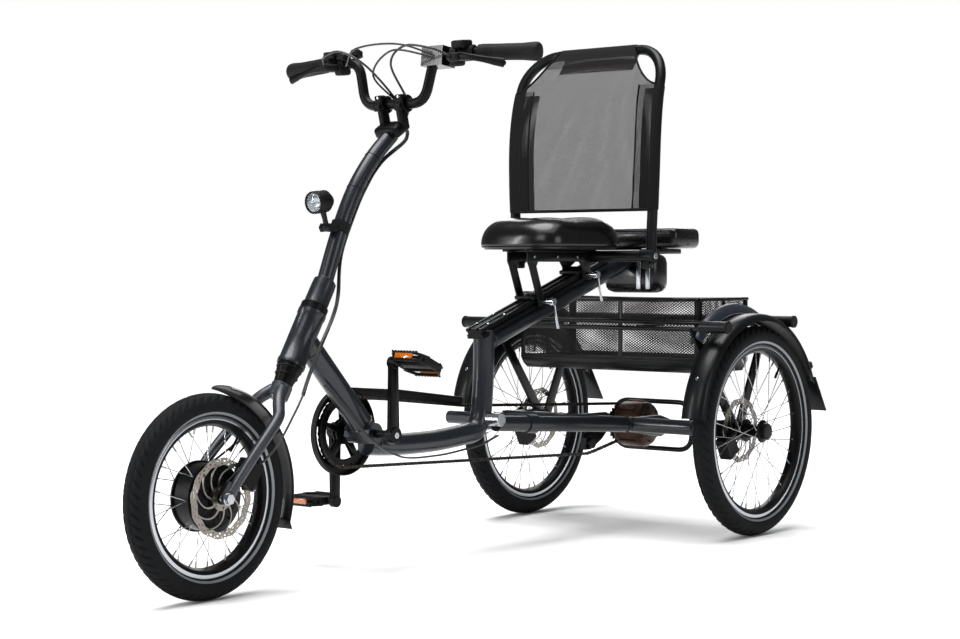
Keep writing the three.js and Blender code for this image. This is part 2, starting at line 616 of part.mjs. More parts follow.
// Both blades spring from the crown beside the steerer and run down to the axle.
const forkLegPath = (side) => bentPath([
  [-200, side * 12, 400], [-176, side * 40, 384], [-150, side * (FORK_HALF_WIDTH - 2), 350],
  [-74, side * FORK_HALF_WIDTH, 283], [-8, side * FORK_HALF_WIDTH, 210],
], 28);
function forkLeg(side) {
  const y = side * FORK_HALF_WIDTH;
  const leg = pipe(forkLegPath(side), 12.2, 12, 10);
  const dropout = sidePlate([[-22, 232], [-6, 236], [13, 210], [13, 193], [-11, 193], [-24, 210]], y - 4, y + 4);
  return join(leg, dropout);
}
const crown = bar([headX(386), 0, 386], [headX(410), 0, 410], 22, 14);
const steerer = bar([headX(385), 0, 385], [headX(586), 0, 586], 14, 12);
const tyreRoom = crossBar(FRONT_AXLE, -34, 34, 226, 24);
const fork = cut(join(forkLeg(1), forkLeg(-1), crown, steerer), tyreRoom);
part('fork', join(fork, crossBar(FRONT_AXLE, 48, 68, 6), crossBar(FRONT_AXLE, -68, -48, 6)), FINISH.forkPaint);

// Dark cone between the fork crown and the head tube.
const coneBase = bar(onHead(411), onHead(449), 19, 16, 27);
part('headset_lower', cut(coneBase, headBar(400, 460, 15.2, 16)), FINISH.blackAluminium);

// Steering column: clamp ring, sleeve and a tube that bends back to the handlebar.
const columnPath = new THREE.CatmullRomCurve3([
  v3(...onHead(612)), v3(-382, 0, 727), v3(-428, 0, 812), v3(-484, 0, 880), v3(-545, 0, 934),
]);
const column = join(
  headBar(554, 566, 27.5, 14), headBar(565, 618, 24.5, 14), pipe(columnPath, RISER_TUBE, 10, 12),
);
part('steering_column', cut(column, headBar(545, 587, 14.4, 12)), FINISH.framePaint);

// ---------------------------------------------------------------- handlebar and controls

const halfBarPoints = (side) => [
  [BAR_CENTRE[0], 0, BAR_CENTRE[1]], [BAR_CENTRE[0], side * 84, BAR_CENTRE[1] - 2],
  [-562, side * 108, 1096], [-577, side * 215, 1099], [-604, side * BAR_HALF_WIDTH, 1094],
];
const halfBar = (side, radius) => pipe(bentPath(halfBarPoints(side), 34), radius, 20, 8);
const wholeBar = (radius) => join(halfBar(1, radius), halfBar(-1, radius));
const barRoom = wholeBar(BAR_TUBE + GAP);
part('handlebar', wholeBar(BAR_TUBE), FINISH.blackAluminium);

const [barX, barZ] = BAR_CENTRE;
const stemRings = [29, -29].map((y) => crossBar(BAR_CENTRE, y - 9, y + 9, 20, 12));
const stemPosts = [29, -29].map((y) => slab([barX + 3, y * 0.9, barZ - 34], [24, 14, 48], 0.25));
const stemHead = slab([-543, 0, 944], [42, 66, 25], 0.55);
const columnRoom = pipe(columnPath, RISER_TUBE + GAP, 10, 12);
part('stem_clamp', cut(join(stemRings, stemPosts, stemHead), barRoom, columnRoom), FINISH.blackAluminium);

// A point and direction along the outer, nearly straight stretch of the bar.
function barPoint(side, y) {
  const t = (y - 215) / (BAR_HALF_WIDTH - 215);
  if (y < 215) return [-562 - 15 * ((y - 108) / 107), side * y, 1096 + 3 * ((y - 108) / 107)];
  return [-577 - 27 * t, side * y, 1099 - 5 * t];
}

for (const [name, side] of [['left', 1], ['right', -1]]) {
  const grip = join(
    bar(barPoint(side, 222), barPoint(side, 346), 16, 10, 17),
    bar(barPoint(side, 344), barPoint(side, 356), 17, 10, 13),
  );
  part(`grip_${name}`, cut(grip, barRoom), FINISH.rubber);

  // Brake lever clamp with the shifter or switch block behind it.
  const clampRing = bar(barPoint(side, 176), barPoint(side, 206), 17, 10);
  const perch = slab([-548, side * 182, 1090], [36, 22, 16], 0.2);
  const block = slab([-560, side * 184, 1116], [40, 34, 20], 0.1);
  part(`control_pod_${name}`, cut(join(clampRing, perch, block), barRoom), FINISH.plastic);

  const leverPath = bentPath([
    [-538, side * 194.5, 1089], [-534, side * 222, 1086], [-541, side * 262, 1078], [-550, side * 306, 1069],
  ], 18);
  part(`brake_lever_${name}`, pipe(leverPath, 5.2, 12, 8), FINISH.blackAluminium);
}

part('display', cut(slab([-562, 118, 1093], [44, 58, 42], -0.1), barRoom), FINISH.glossPlastic);

// ---------------------------------------------------------------- front mudguard and brakes

const frontGuardSection = [[212, -30], [217, -26], [220, -16], [220, 16], [217, 26], [212, 30], [212, 27],
  [217, 15], [217, -15], [212, -27]];
const frontGuard = arc(frontGuardSection, FRONT_AXLE, 102, 200, 12);
const guardFlap = slab([-206, 0, 131], [3, 56, 24], 0.35);
part('front_mudguard', cut(join(frontGuard, guardFlap), crossBar(FRONT_AXLE, -40, 40, 208, 24)), FINISH.blackPaint);

function caliper([cx, cz], rotorY, side, pitch, axle) {
  const body = slab([cx, rotorY, cz], [42, 30, 52], pitch);
  const slot = crossBar(axle, rotorY - 2.5, rotorY + 2.5, ROTOR_RADIUS + 3, 36);
  return cut(body, slot);
}
const frontCaliper = caliper([-68, 244], 44, 1, -0.6, FRONT_AXLE);
part('front_caliper', cut(frontCaliper, pipe(forkLegPath(1), 12.8, 18, 14),
  crossBar(FRONT_AXLE, -60, 40, 71)), FINISH.blackAluminium);
for (const [name, side] of [['left', 1], ['right', -1]]) {
  const body = caliper([REAR_AXLE[0] + 62, REAR_AXLE[1] - 34], side * 307, side, 0.5, REAR_AXLE);
  part(`rear_caliper_${name}`, cut(body, carrierSolid(GAP)), FINISH.blackAluminium);
}

// ---------------------------------------------------------------- cables

// Hoses and wires from both levers, gathered behind the column and led to the fork.
const gather = [-586, 0, 958];
function leverHose(side) {
  return pipe(new THREE.CatmullRomCurve3([
    v3(-524, side * 176, 1092), v3(-500, side * 150, 1104), v3(-490, side * 90, 1108),
    v3(-520, side * 34, 1066), v3(-590, side * 14, 1000), v3(...gather),
  ]), 2.6, 11, 6);
}
const columnBack = (t) => {
  const point = columnPath.getPoint(t);
  const tangent = columnPath.getTangent(t);
  return v3(point.x - tangent.z * (RISER_TUBE + 10), 0, point.z + tangent.x * (RISER_TUBE + 10));
};
const bundlePath = new THREE.CatmullRomCurve3([
  v3(...gather), v3(-594, 0, 928), columnBack(0.8), columnBack(0.6), columnBack(0.4), columnBack(0.15),
  v3(-364, 12, 592), v3(-318, 38, 542), v3(-270, 52, 490), v3(-236, 56, 438), v3(-204, 66, 394),
]);
const bundle = (radius) => pipe(bundlePath, radius, 24, 6);
const brakeHosePath = new THREE.CatmullRomCurve3([
  v3(-204, 65, 394), v3(-172, 74, 360), v3(-120, 78, 300), v3(-88, 66, 262),
]);
const cables = join(leverHose(1), leverHose(-1), bundle(4.2), pipe(brakeHosePath, 2.6, 8, 6));
part('control_cables', cables, FINISH.rubber);

// Rear cables under the frame tubes.
const underFrame = pipe(bentPath([
  [-322, 14, 404], [-446, 46, 268], [-560, 32, 232], [-700, 27, 236], [-824, 26, 256], [-900, 10, 262],
], 60), 3.6, 22, 6);
part('frame_cables', underFrame, FINISH.rubber);

// ---------------------------------------------------------------- headlight

const LAMP = [-322, 784];
const lampTurn = new THREE.Quaternion().setFromAxisAngle(v3(0, 1, 0), 0.12);
function alongLamp(profile, segments) {
  const geometry = new THREE.LatheGeometry(profile.map(([r, d]) => new THREE.Vector2(r, d)), segments);
  geometry.rotateZ(-Math.PI / 2);
  geometry.applyQuaternion(lampTurn);
  geometry.translate(LAMP[0], 0, LAMP[1]);
  return solid(geometry);
}
const lampShell = alongLamp([[0, -34], [15, -32], [24, -14], [26, 22], [23, 22], [22, 12], [0, 12]], 20);
const LAMP_PIVOT = [-343, 731];
const lampArm = join(crossBar(LAMP_PIVOT, -7, 7, 8), slab([-338, 0, 753], [10, 14, 44], 0.35));
part('headlight', join(lampShell, lampArm), FINISH.plastic);
part('headlight_lens', alongLamp([[0, 13], [21.6, 13], [22.6, 21], [12, 25], [0, 26]], 20), FINISH.lens);

// Bracket that reaches forward from the column to the lamp's pivot.
const bracketCollar = bar([-379, 0, 722], [-388, 0, 741], 21, 12);
const bracketArm = slab([-372, 0, 731], [34, 28, 8], 0.1);
const bracketCheeks = [-14, 7.4].map((y) => sidePlate([[-366, 724], [-338, 722], [-333, 731], [-338, 740],
  [-366, 738]], y, y + 6.6));
part('headlight_bracket', cut(join(bracketCollar, bracketArm, bracketCheeks), columnRoom, bundle(5)),
  FINISH.plastic);

// ---------------------------------------------------------------- seat

const onRail = (x) => overBeam(x, SEAT_BEAM + GAP + RAIL_HEIGHT)[1];

// Steel bracket: a top plate, two cheeks with four legs, and the cross tube of the backrest.
function seatBracket() {
  const cheekOutline = [
    [-985, 684], [-1250, 684], [-1250, 660], [-1232, 650], [-1238, 618], [-1204, 618], [-1200, 648],
    [-1188, 662], [-1026, 662], [-1019, 650], [-1056, 556],
  [-1030, 556], [-992, 650], [-985, 662],
  ];
  const cheeks = [1, -1].map((side) => sidePlate(cheekOutline, side * 29 - 2, side * 29 + 2));
  const topPlate = box([-1230, -46, 684], [-1000, 46, 688]);
  const cross = crossBar(BACKREST_PIVOT, -176, 176, 14);
  const frontPin = crossBar([-1043, 568], 31, 54, 6);
  const rearPin = crossBar([-1218, 630], 31, 54, 6);
  const clampShoes = [-1043, -1218].map((x) => slab([x, 0, onRail(x) + 5.5], [40, 54, 8], beamAngle));
  return join(cheeks, topPlate, cross, frontPin, rearPin, clampShoes);
}
part('seat_bracket', cut(seatBracket(), railSolid(GAP), seatBeam(GAP)), FINISH.blackPaint);

function clampLever([x, z], name) {
  const hub = crossBar([x, z], 54.4, 66, 9, 16);
  const blade = slab([x - 12, 61, z - 32], [9, 4.5, 66], 0.28);
  part(name, join(hub, blade), FINISH.brightAluminium);
}
clampLever([-1043, 568], 'seat_lever_front');
clampLever([-1218, 630], 'seat_lever_rear');

// Wide comfort saddle, narrower in front.
function saddle() {
  const outline = new THREE.Shape();
  outline.moveTo(152, 0);
  outline.bezierCurveTo(152, 72, 142, 118, 84, 122);
  outline.bezierCurveTo(30, 126, -20, 138, -70, 140);
  outline.bezierCurveTo(-118, 140, -134, 92, -134, 0);
  outline.bezierCurveTo(-134, -92, -118, -140, -70, -140);
  outline.bezierCurveTo(-20, -138, 30, -126, 84, -122);
  outline.bezierCurveTo(142, -118, 152, -72, 152, 0);
  const round = 14;
  const geometry = new THREE.ExtrudeGeometry(outline, {
    depth: SADDLE_HEIGHT - 2 * round, bevelEnabled: true, bevelThickness: round, bevelSize: round,
    bevelOffset: -round, bevelSegments: 1, curveSegments: 5,
  });
  geometry.translate(SADDLE_CENTRE_X, 0, SADDLE_BOTTOM + round);
  return solid(geometry);
}
part('saddle', saddle(), FINISH.leather);

// Backrest: one bent tube from foot to foot, pivoting on the ends of the cross tube.
const [pivotX, pivotZ] = BACKREST_PIVOT;
// The back leans little at its foot and bends away towards its top; its sides bow out a little.
const backShare = (z) => Math.max(0, (z - 735) / (BACKREST_TOP - 735));
const backX = (z) => -1241 - 80 * backShare(z) ** 3;
const backHalf = (z) => BACKREST_HALF_WIDTH - 2 + 7 * Math.sin(Math.PI * backShare(z));
const upright = (side) => [pivotZ, 735, 820, 900, 970, 1030, 1080].map((z) => [
  z < 735 ? pivotX : backX(z), side * backHalf(z), z]);
const topCorner = (side) => [backX(BACKREST_TOP), side * (BACKREST_HALF_WIDTH - 6), BACKREST_TOP];
const backFrame = bentPath([...upright(-1), topCorner(-1), topCorner(1), ...upright(1).reverse()], 90);
const backHubs = [1, -1].map((side) => crossBar(BACKREST_PIVOT, side * 177, side * 213, 17, 12));
part('backrest_frame', join(pipe(backFrame, BACKREST_TUBE, 44, 8), backHubs), FINISH.blackPaint);

// Mesh back panel: its sleeves wrap the two uprights and the middle of the top tube.
function backPanel() {
  const half = BACKREST_HALF_WIDTH - BACKREST_TUBE - 4;
  const [low, shoulder, high] = [784, 1080, 1150];
  const levels = [low, 860, 930, 990, 1040, shoulder, 1115, high];
  const front = levels.map((z) => [backX(z) + 4, z]);
  const back = levels.map((z) => [backX(z) - 4, z]).reverse();
  const bentSlab = sidePlate([...front, ...back], -half, half);
  const corner = (side) => sidePlateAcross([[side * (half + 1), shoulder], [side * (half + 1), high + 1],
    [side * (half - 84), high + 1]]);
  return cut(bentSlab, corner(1), corner(-1));
}
part('backrest_panel', backPanel(), FINISH.fabric);

// ---------------------------------------------------------------- battery and controller

function roundedBlock([x0, y0, z0], [x1, y1, z1], round) {
  const shape = new THREE.Shape();
  shape.moveTo(x0 + round, z0);
  shape.lineTo(x1 - round, z0);
  shape.quadraticCurveTo(x1, z0, x1, z0 + round);
  shape.lineTo(x1, z1 - round);
  shape.quadraticCurveTo(x1, z1, x1 - round, z1);
  shape.lineTo(x0 + round, z1);
  shape.quadraticCurveTo(x0, z1, x0, z1 - round);
  shape.lineTo(x0, z0 + round);
  shape.quadraticCurveTo(x0, z0, x0 + round, z0);
  const geometry = new THREE.ExtrudeGeometry(shape, {
    depth: y1 - y0 - 16, bevelEnabled: true, bevelThickness: 8, bevelSize: 8, bevelOffset: -8,
    bevelSegments: 2, curveSegments: 3,
  });
  geometry.rotateX(Math.PI / 2);
  geometry.translate(0, y1 - 8, 0);
  return solid(geometry);
}
part('battery', roundedBlock([BATTERY.rear, -BATTERY.half, BATTERY.bottom],
  [BATTERY.front, BATTERY.half, BATTERY.top], 16), FINISH.glossPlastic);

// Battery dock on the end of the seat beam: controller case, tray and two straps.
const controllerCase = roundedBlock([-1508, -80, 584], [-1434, 80, 682], 24);
const tray = box([-1496, -120, 680], [-1392, 120, BATTERY.bottom - GAP]);
const straps = [34, 62].map((y) => box([-1435, y - 7, 590], [-1430.5, y + 7, 690]));
part('battery_dock', cut(join(controllerCase, tray, straps), seatBeam(GAP)), FINISH.plastic);

export default tricycle;
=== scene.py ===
"""Adult tricycle: finishes and detailed pieces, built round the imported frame."""

import math

import bmesh
import bpy
from bpy.props import FloatProperty, FloatVectorProperty, IntProperty, PointerProperty
from mathutils import Matrix, Vector


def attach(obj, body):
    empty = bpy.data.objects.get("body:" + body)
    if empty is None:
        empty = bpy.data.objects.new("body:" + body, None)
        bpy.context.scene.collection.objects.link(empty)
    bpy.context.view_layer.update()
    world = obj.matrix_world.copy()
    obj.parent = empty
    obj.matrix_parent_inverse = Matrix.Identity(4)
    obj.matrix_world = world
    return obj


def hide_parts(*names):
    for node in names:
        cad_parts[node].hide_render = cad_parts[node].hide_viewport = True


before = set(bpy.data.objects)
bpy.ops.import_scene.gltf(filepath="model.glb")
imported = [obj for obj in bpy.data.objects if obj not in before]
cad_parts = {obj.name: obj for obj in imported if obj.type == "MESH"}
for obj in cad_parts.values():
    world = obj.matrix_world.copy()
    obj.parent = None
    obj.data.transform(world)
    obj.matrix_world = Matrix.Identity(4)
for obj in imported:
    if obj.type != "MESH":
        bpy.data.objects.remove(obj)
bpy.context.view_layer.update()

bl_info = {
    "name": "Adult tricycle",
    "version": (1, 0, 0),
    "blender": (4, 5, 0),
    "location": "View3D > Sidebar > Tricycle",
    "description": "Builds the detailed pieces and finishes of an adult tricycle round its frame",
    "category": "Object",
}

# Lengths below are millimetres, with x counted from the front axle, until Shape.make moves them.
FRAME_SHIFT = 785.5
MM = 0.001

FRONT_RADIUS = 202.5
REAR_RADIUS = 253
SECTION_RADIUS = 25         # half the thickness of a tyre
HALF_TRACK = 345
FRONT_AXLE = (0, FRONT_RADIUS)
REAR_AXLE = (-1474, REAR_RADIUS)
HEAD_LEAN = 0.6037
HEAD_FOOT = (-192.5, 378)
CRANK = (-455, 297)
CRANK_LENGTH = 152
RING_TEETH = 38
SPROCKET_TEETH = 22
CHAIN_Y = -55
CHAIN_PITCH = 12.7
BEAM_SLOPE = 0.333
BEAM_ANGLE = math.atan(BEAM_SLOPE)
BEAM_FOOT = (-861, 474)     # where the seat beam meets the seat tube
BAR_CENTRE = (-556, 1000)
BAR_HALF = 350
BAR_BENDS = ((-562, 108, 1096), (-577, 215, 1099), (-604, BAR_HALF, 1094))
BACK_PIVOT = (-1240, 675)
BACK_HALF = 205
BACK_TOP = 1172
BACK_TUBE = 12.5
BACK_FOOT = (-1241, 735)    # where the uprights start to lean back
BACK_LEAN = 72
BACK_CURVE = 4.5
LEVER_AXES = {"front": (-1043, 568), "rear": (-1218, 630)}
GUARD_CENTRE = (-1464, 260)
BASKET = {"front": -1347, "rear": -1565, "half": 268, "low": 394, "high": 574}
SADDLE_X = -1108
SADDLE_LOW = 690
SADDLE_HIGH = 767

FINISHES = {}


# ---------------------------------------------------------------- colours and nodes

def linear(code):
    """A colour written as sRGB hex, as the linear red, green, blue and alpha that shaders take."""
    channels = [int(code[i:i + 2], 16) / 255 for i in (0, 2, 4)]
    return tuple(c / 12.92 if c <= 0.04045 else ((c + 0.055) / 1.055) ** 2.4
                 for c in channels) + (1.0,)


def add_node(tree, kind, inputs=None, **settings):
    """Adds a node with its settings; each input is a value or the output that feeds it."""
    node = tree.nodes.new(kind)
    for key, value in settings.items():
        setattr(node, key, value)
    for key, value in (inputs or {}).items():
        if isinstance(value, bpy.types.NodeSocket):
            tree.links.new(value, node.inputs[key])
        else:
            node.inputs[key].default_value = value
    return node


def finish(name, colour, worn, roughness, grain, depth, drift=90, spread=0.06, **shader):
    """A finish whose colour drifts towards worn over drift mm, with a grain of that many mm."""
    material = bpy.data.materials.new(name)
    material.use_nodes = True
    tree = material.node_tree
    skin = tree.nodes["Principled BSDF"]
    place = add_node(tree, "ShaderNodeTexCoord").outputs["Object"]
    cloud = add_node(tree, "ShaderNodeTexNoise",
                     {"Vector": place, "Scale": 1 / (drift * MM), "Detail": 4.0})
    blend = add_node(tree, "ShaderNodeMix",
                     {"Factor": cloud.outputs["Fac"], "A": colour, "B": worn},
                     data_type="RGBA")
    fine = add_node(tree, "ShaderNodeTexNoise",
                    {"Vector": place, "Scale": 1 / (grain * MM), "Detail": 3.0})
    rough = add_node(tree, "ShaderNodeMapRange", {
        "Value": fine.outputs["Fac"], "To Min": roughness - spread, "To Max": roughness + spread})
    bump = add_node(tree, "ShaderNodeBump", {"Height": fine.outputs["Fac"], "Distance": depth * MM,
                                            "Strength": 0.6})
    tree.links.new(blend.outputs["Result"], skin.inputs["Base Color"])
    tree.links.new(rough.outputs["Result"], skin.inputs["Roughness"])
    tree.links.new(bump.outputs["Normal"], skin.inputs["Normal"])
    for key, value in shader.items():
        skin.inputs[key.replace("_", " ").title().replace("Ior", "IOR")].default_value = value
    FINISHES[name] = material
    return tree, skin, place, blend, bump


def flakes(tree, skin, place, blend, size, colour, share):
    """Metal flakes in a paint: a few cells of that many mm turn brighter."""
    cells = add_node(tree, "ShaderNodeTexVoronoi", {"Vector": place, "Scale": 1 / (size * MM)})
    tone = add_node(tree, "ShaderNodeSeparateColor", {"Color": cells.outputs["Color"]})
    picked = add_node(tree, "ShaderNodeMapRange", {
        "Value": tone.outputs["Red"], "From Min": 1 - share, "From Max": 1.0})
    mixed = add_node(tree, "ShaderNodeMix", {
        "Factor": picked.outputs["Result"], "A": blend.outputs["Result"], "B": colour},
                     data_type="RGBA")
    tree.links.new(mixed.outputs["Result"], skin.inputs["Base Color"])


def thread_mask(tree, place, axis, pitch, share):
    """1 on the threads that cross one axis, pitch mm apart and a share of it thick."""
    parts = add_node(tree, "ShaderNodeSeparateXYZ", {"Vector": place})
    turns = add_node(tree, "ShaderNodeMath", {0: parts.outputs[axis], 1: 1 / (pitch * MM)},
                     operation="MULTIPLY")
    step = add_node(tree, "ShaderNodeMath", {0: turns.outputs[0]}, operation="FRACT")
    return add_node(tree, "ShaderNodeMath", {0: step.outputs[0], 1: share},
                    operation="LESS_THAN").outputs[0]


def woven(name, colour, worn, pitch, share_up, share_across):
    """A coated polyester weave, open between its threads."""
    tree, skin, place, _, _ = finish(name, colour, worn, 0.7, 1.2, 0.1, Specular_Ior_Level=0.15)
    up = thread_mask(tree, place, "Y", pitch * 1.15, share_up)
    across = thread_mask(tree, place, "Z", pitch, share_across)
    cover = add_node(tree, "ShaderNodeMath", {0: up, 1: across}, operation="MAXIMUM")
    tree.links.new(cover.outputs[0], skin.inputs["Alpha"])


# ---------------------------------------------------------------- paths

def bent(points, bend, steps=9):
    """Straight runs with a rounded corner at each inner point."""
    points = [Vector(p) for p in points]
    path = [points[0]]
    for i in range(1, len(points) - 1):
        corner, before, after = points[i], path[-1], points[i + 1]
        enter = corner + (before - corner).normalized() * min(bend, (before - corner).length * 0.49)
        leave = corner + (after - corner).normalized() * min(bend, (after - corner).length * 0.49)
        for k in range(steps + 1):
            t = k / steps
            path.append(enter * (1 - t) ** 2 + corner * (2 * t * (1 - t)) + leave * t ** 2)
    return path + [points[-1]]


def curved(points, steps=8):
    """A smooth curve through every point."""
    points = [Vector(p) for p in points]
    ends = [2 * points[0] - points[1], *points, 2 * points[-1] - points[-2]]
    path = []
    for a, b, c, d in zip(ends, ends[1:], ends[2:], ends[3:]):
        for k in range(steps):
            t = k / steps
            path.append(0.5 * (2 * b + (c - a) * t + (2 * a - 5 * b + 4 * c - d) * t ** 2
                               + (3 * b - a - 3 * c + d) * t ** 3))
    return path + [points[-1]]


def on_circle(centre, radius, degrees, y=0):
    """A point on a circle about an (x, z) centre; 0 degrees is ahead and 90 is up."""
    angle = math.radians(degrees)
    return Vector((centre[0] + radius * math.cos(angle), y, centre[1] + radius * math.sin(angle)))


def on_head(z):
    """The point of the steering axis at a height."""
    return Vector((HEAD_FOOT[0] - HEAD_LEAN * (z - HEAD_FOOT[1]), 0, z))


def rib(centre, degrees, near, far, near_half, far_half):
    """Outline of a flat arm that points outwards from a centre."""
    out = on_circle((0, 0), 1, degrees)
    corners = ((near, near_half), (far, far_half), (far, -far_half), (near, -near_half))
    return [(centre[0] + out.x * r - out.z * half, centre[1] + out.z * r + out.x * half)
            for r, half in corners]


def toothed(centre, tip, root, teeth):
    """Points of a toothed wheel, four to a tooth, of which the middle two stand at its tip."""
    return [on_circle(centre, tip if i % 4 in (1, 2) else root, 90 * i / teeth)
            for i in range(4 * teeth)]


def beam(x, lift=0):
    """A point over the seat beam's axis, lift mm square to it."""
    z = BEAM_FOOT[1] + BEAM_SLOPE * (BEAM_FOOT[0] - x)
    return Vector((x + lift * math.sin(BEAM_ANGLE), 0, z + lift * math.cos(BEAM_ANGLE)))


# ---------------------------------------------------------------- shapes

class Shape:
    """Points and faces of one piece, gathered bit by bit, each face marked with its finish."""

    def __init__(self):
        self.points, self.faces, self.marks = [], [], []
        self.mark = 0

    def add(self, points, faces):
        start = len(self.points)
        self.points += [tuple(p) for p in points]
        self.faces += [tuple(i + start for i in face) for face in faces]
        self.marks += [self.mark] * len(faces)

    def grid(self, rows, close_rows=False, close_columns=False):
        """Quads between rows of points."""
        count, width = len(rows), len(rows[0])
        faces = []
        for i in range(count if close_rows else count - 1):
            for k in range(width if close_columns else width - 1):
                a, b = i * width, (i + 1) % count * width
                n = (k + 1) % width
                faces.append((a + k, a + n, b + n, b + k))
        self.add([p for row in rows for p in row], faces)

    def tube(self, path, radius, sides=32, flat=1.0, caps=True):
        """A round rod along a path; radius is one number, or one for each point."""
        path = [Vector(p) for p in path]
        radii = radius if hasattr(radius, "__len__") else [radius] * len(path)
        side, rows = None, []
        for i, point in enumerate(path):
            ahead = (path[min(i + 1, len(path) - 1)] - path[max(i - 1, 0)]).normalized()
            if side is None:
                side = Vector((0, 1, 0)) if abs(ahead.y) < 0.7 else Vector((1, 0, 0))
            side = (side - ahead * side.dot(ahead)).normalized()
            over = ahead.cross(side)
            rows.append([point + side * math.cos(2 * math.pi * k / sides) * radii[i]
                         + over * math.sin(2 * math.pi * k / sides) * radii[i] * flat
                         for k in range(sides)])
        self.grid(rows, close_columns=True)
        if caps:
            for row in (rows[0], rows[-1]):
                self.add(row, [tuple(range(sides))])

    def cross(self, centre, y0, y1, radius, sides=32):
        """A round bar along y, with chamfered ends."""
        edge = min(1.2, radius * 0.15) * (1 if y1 > y0 else -1)
        ys = [y0, y0 + edge, y1 - edge, y1]
        shrink = abs(edge)
        self.tube([(centre[0], y, centre[1]) for y in ys],
                  [radius - shrink, radius, radius, radius - shrink], sides)

    def lathe(self, profile, centre, segments=96, start=0, stop=360, reach=None):
        """A profile of (radius, y) turned about a wheel axis; reach(degrees) changes its radii."""
        closed = profile[0] == profile[-1]
        ring = profile[:-1] if closed else profile
        full = stop - start >= 360
        rows = []
        for i in range(segments if full else segments + 1):
            degrees = start + (stop - start) * i / segments
            change = reach(degrees) if reach else (lambda r: r)
            rows.append([on_circle(centre, change(r), degrees, y) for r, y in ring])
        self.grid(rows, close_rows=full, close_columns=closed)
        if closed and not full:
            for row in (rows[0], rows[-1]):
                self.add(row, [tuple(range(len(ring)))])

    def absorb(self, bm, matrix=None):
        if matrix:
            bmesh.ops.transform(bm, matrix=matrix, verts=bm.verts[:])
        bm.verts.index_update()
        self.add([v.co.copy() for v in bm.verts],
                 [tuple(v.index for v in f.verts) for f in bm.faces])
        bm.free()

    def plate(self, outline, y0, y1, edge=1.0):
        """A flat plate with an (x, z) outline and softened edges."""
        bm = bmesh.new()
        face = bm.faces.new([bm.verts.new((x, y0, z)) for x, z in outline])
        grown = bmesh.ops.extrude_face_region(bm, geom=[face])["geom"]
        for v in grown:
            if isinstance(v, bmesh.types.BMVert):
                v.co.y += y1 - y0
        bmesh.ops.bevel(bm, geom=bm.edges[:], offset=edge, segments=2, profile=0.5, affect="EDGES",
                        clamp_overlap=True)
        self.absorb(bm)

    def block(self, centre, size, pitch=0.0, edge=2.0, yaw=0.0):
        """A box with rounded edges, pitched about y, then turned about z."""
        bm = bmesh.new()
        bmesh.ops.create_cube(bm, size=1.0)
        bmesh.ops.scale(bm, vec=size, verts=bm.verts[:])
        bmesh.ops.bevel(bm, geom=bm.edges[:], offset=edge, segments=3, profile=0.5, affect="EDGES",
                        clamp_overlap=True)
        turn = Matrix.Rotation(yaw, 4, "Z") @ Matrix.Rotation(pitch, 4, "Y")
        self.absorb(bm, Matrix.Translation(centre) @ turn)

    def bolt(self, centre, axis, radius, height=3.0):
        """A socket-head screw standing on a surface."""
        axis = Vector(axis).normalized()
        foot = Vector(centre)
        self.tube([foot, foot + axis * height * 0.8, foot + axis * height],
                  [radius, radius, radius * 0.8], 16)

    def ring(self, centre, axis, radius, thickness, sides=40):
        """A round bead, such as a weld, about an axis."""
        axis = Vector(axis).normalized()
        side = axis.orthogonal().normalized()
        over = axis.cross(side)
        rows = []
        for i in range(sides):
            out = side * math.cos(2 * math.pi * i / sides) + over * math.sin(2 * math.pi * i
                                                                             / sides)
            rows.append([Vector(centre) + out * (radius + thickness * math.cos(2 * math.pi * k / 8))
                         + axis * thickness * math.sin(2 * math.pi * k / 8) for k in range(8)])
        self.grid(rows, close_rows=True, close_columns=True)

    def make(self, name, body, finishes, stands_for=(), slot=None, sharp=38, weld=False):
        """One object on a body, in metres, with smooth faces up to the sharp angle."""
        mesh = bpy.data.meshes.new(name)
        moved = [((x + FRAME_SHIFT) * MM, y * MM, z * MM) for x, y, z in self.points]
        mesh.from_pydata(moved, [], self.faces)
        for face, mark in zip(mesh.polygons, self.marks):
            face.material_index = mark
        bm = bmesh.new()
        bm.from_mesh(mesh)
        if weld:
            bmesh.ops.remove_doubles(bm, verts=bm.verts[:], dist=0.02 * MM)
        bmesh.ops.recalc_face_normals(bm, faces=bm.faces[:])
        bm.to_mesh(mesh)
        bm.free()
        mesh.shade_smooth()
        mesh.set_sharp_from_angle(angle=math.radians(sharp))
        for finish_name in finishes:
            mesh.materials.append(FINISHES[finish_name])
        piece = bpy.data.objects.new(name, mesh)
        bpy.context.scene.collection.objects.link(piece)
        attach(piece, body)
        if stands_for:
            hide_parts(*stands_for)
        return piece


# ---------------------------------------------------------------- what a user may change

class TricycleColours(bpy.types.PropertyGroup):
    frame_paint: FloatVectorProperty(name="Frame paint",
                                     description="Metallic coat of the frame tubes",
                                     subtype="COLOR", size=4, min=0, max=1,
                                     default=linear("12161c"))
    fork_paint: FloatVectorProperty(name="Fork paint", description="Satin grey coat of the fork",
                                    subtype="COLOR", size=4, min=0, max=1, default=linear("2d3035"))
    dome: FloatVectorProperty(name="Wheel covers",
                              description="Moulded covers inside the rear wheels",
                              subtype="COLOR", size=4, min=0, max=1, default=linear("1d2330"))
    back_mesh: FloatVectorProperty(name="Back mesh", description="Threads of the backrest's weave",
                                   subtype="COLOR", size=4, min=0, max=1, default=linear("1c191b"))


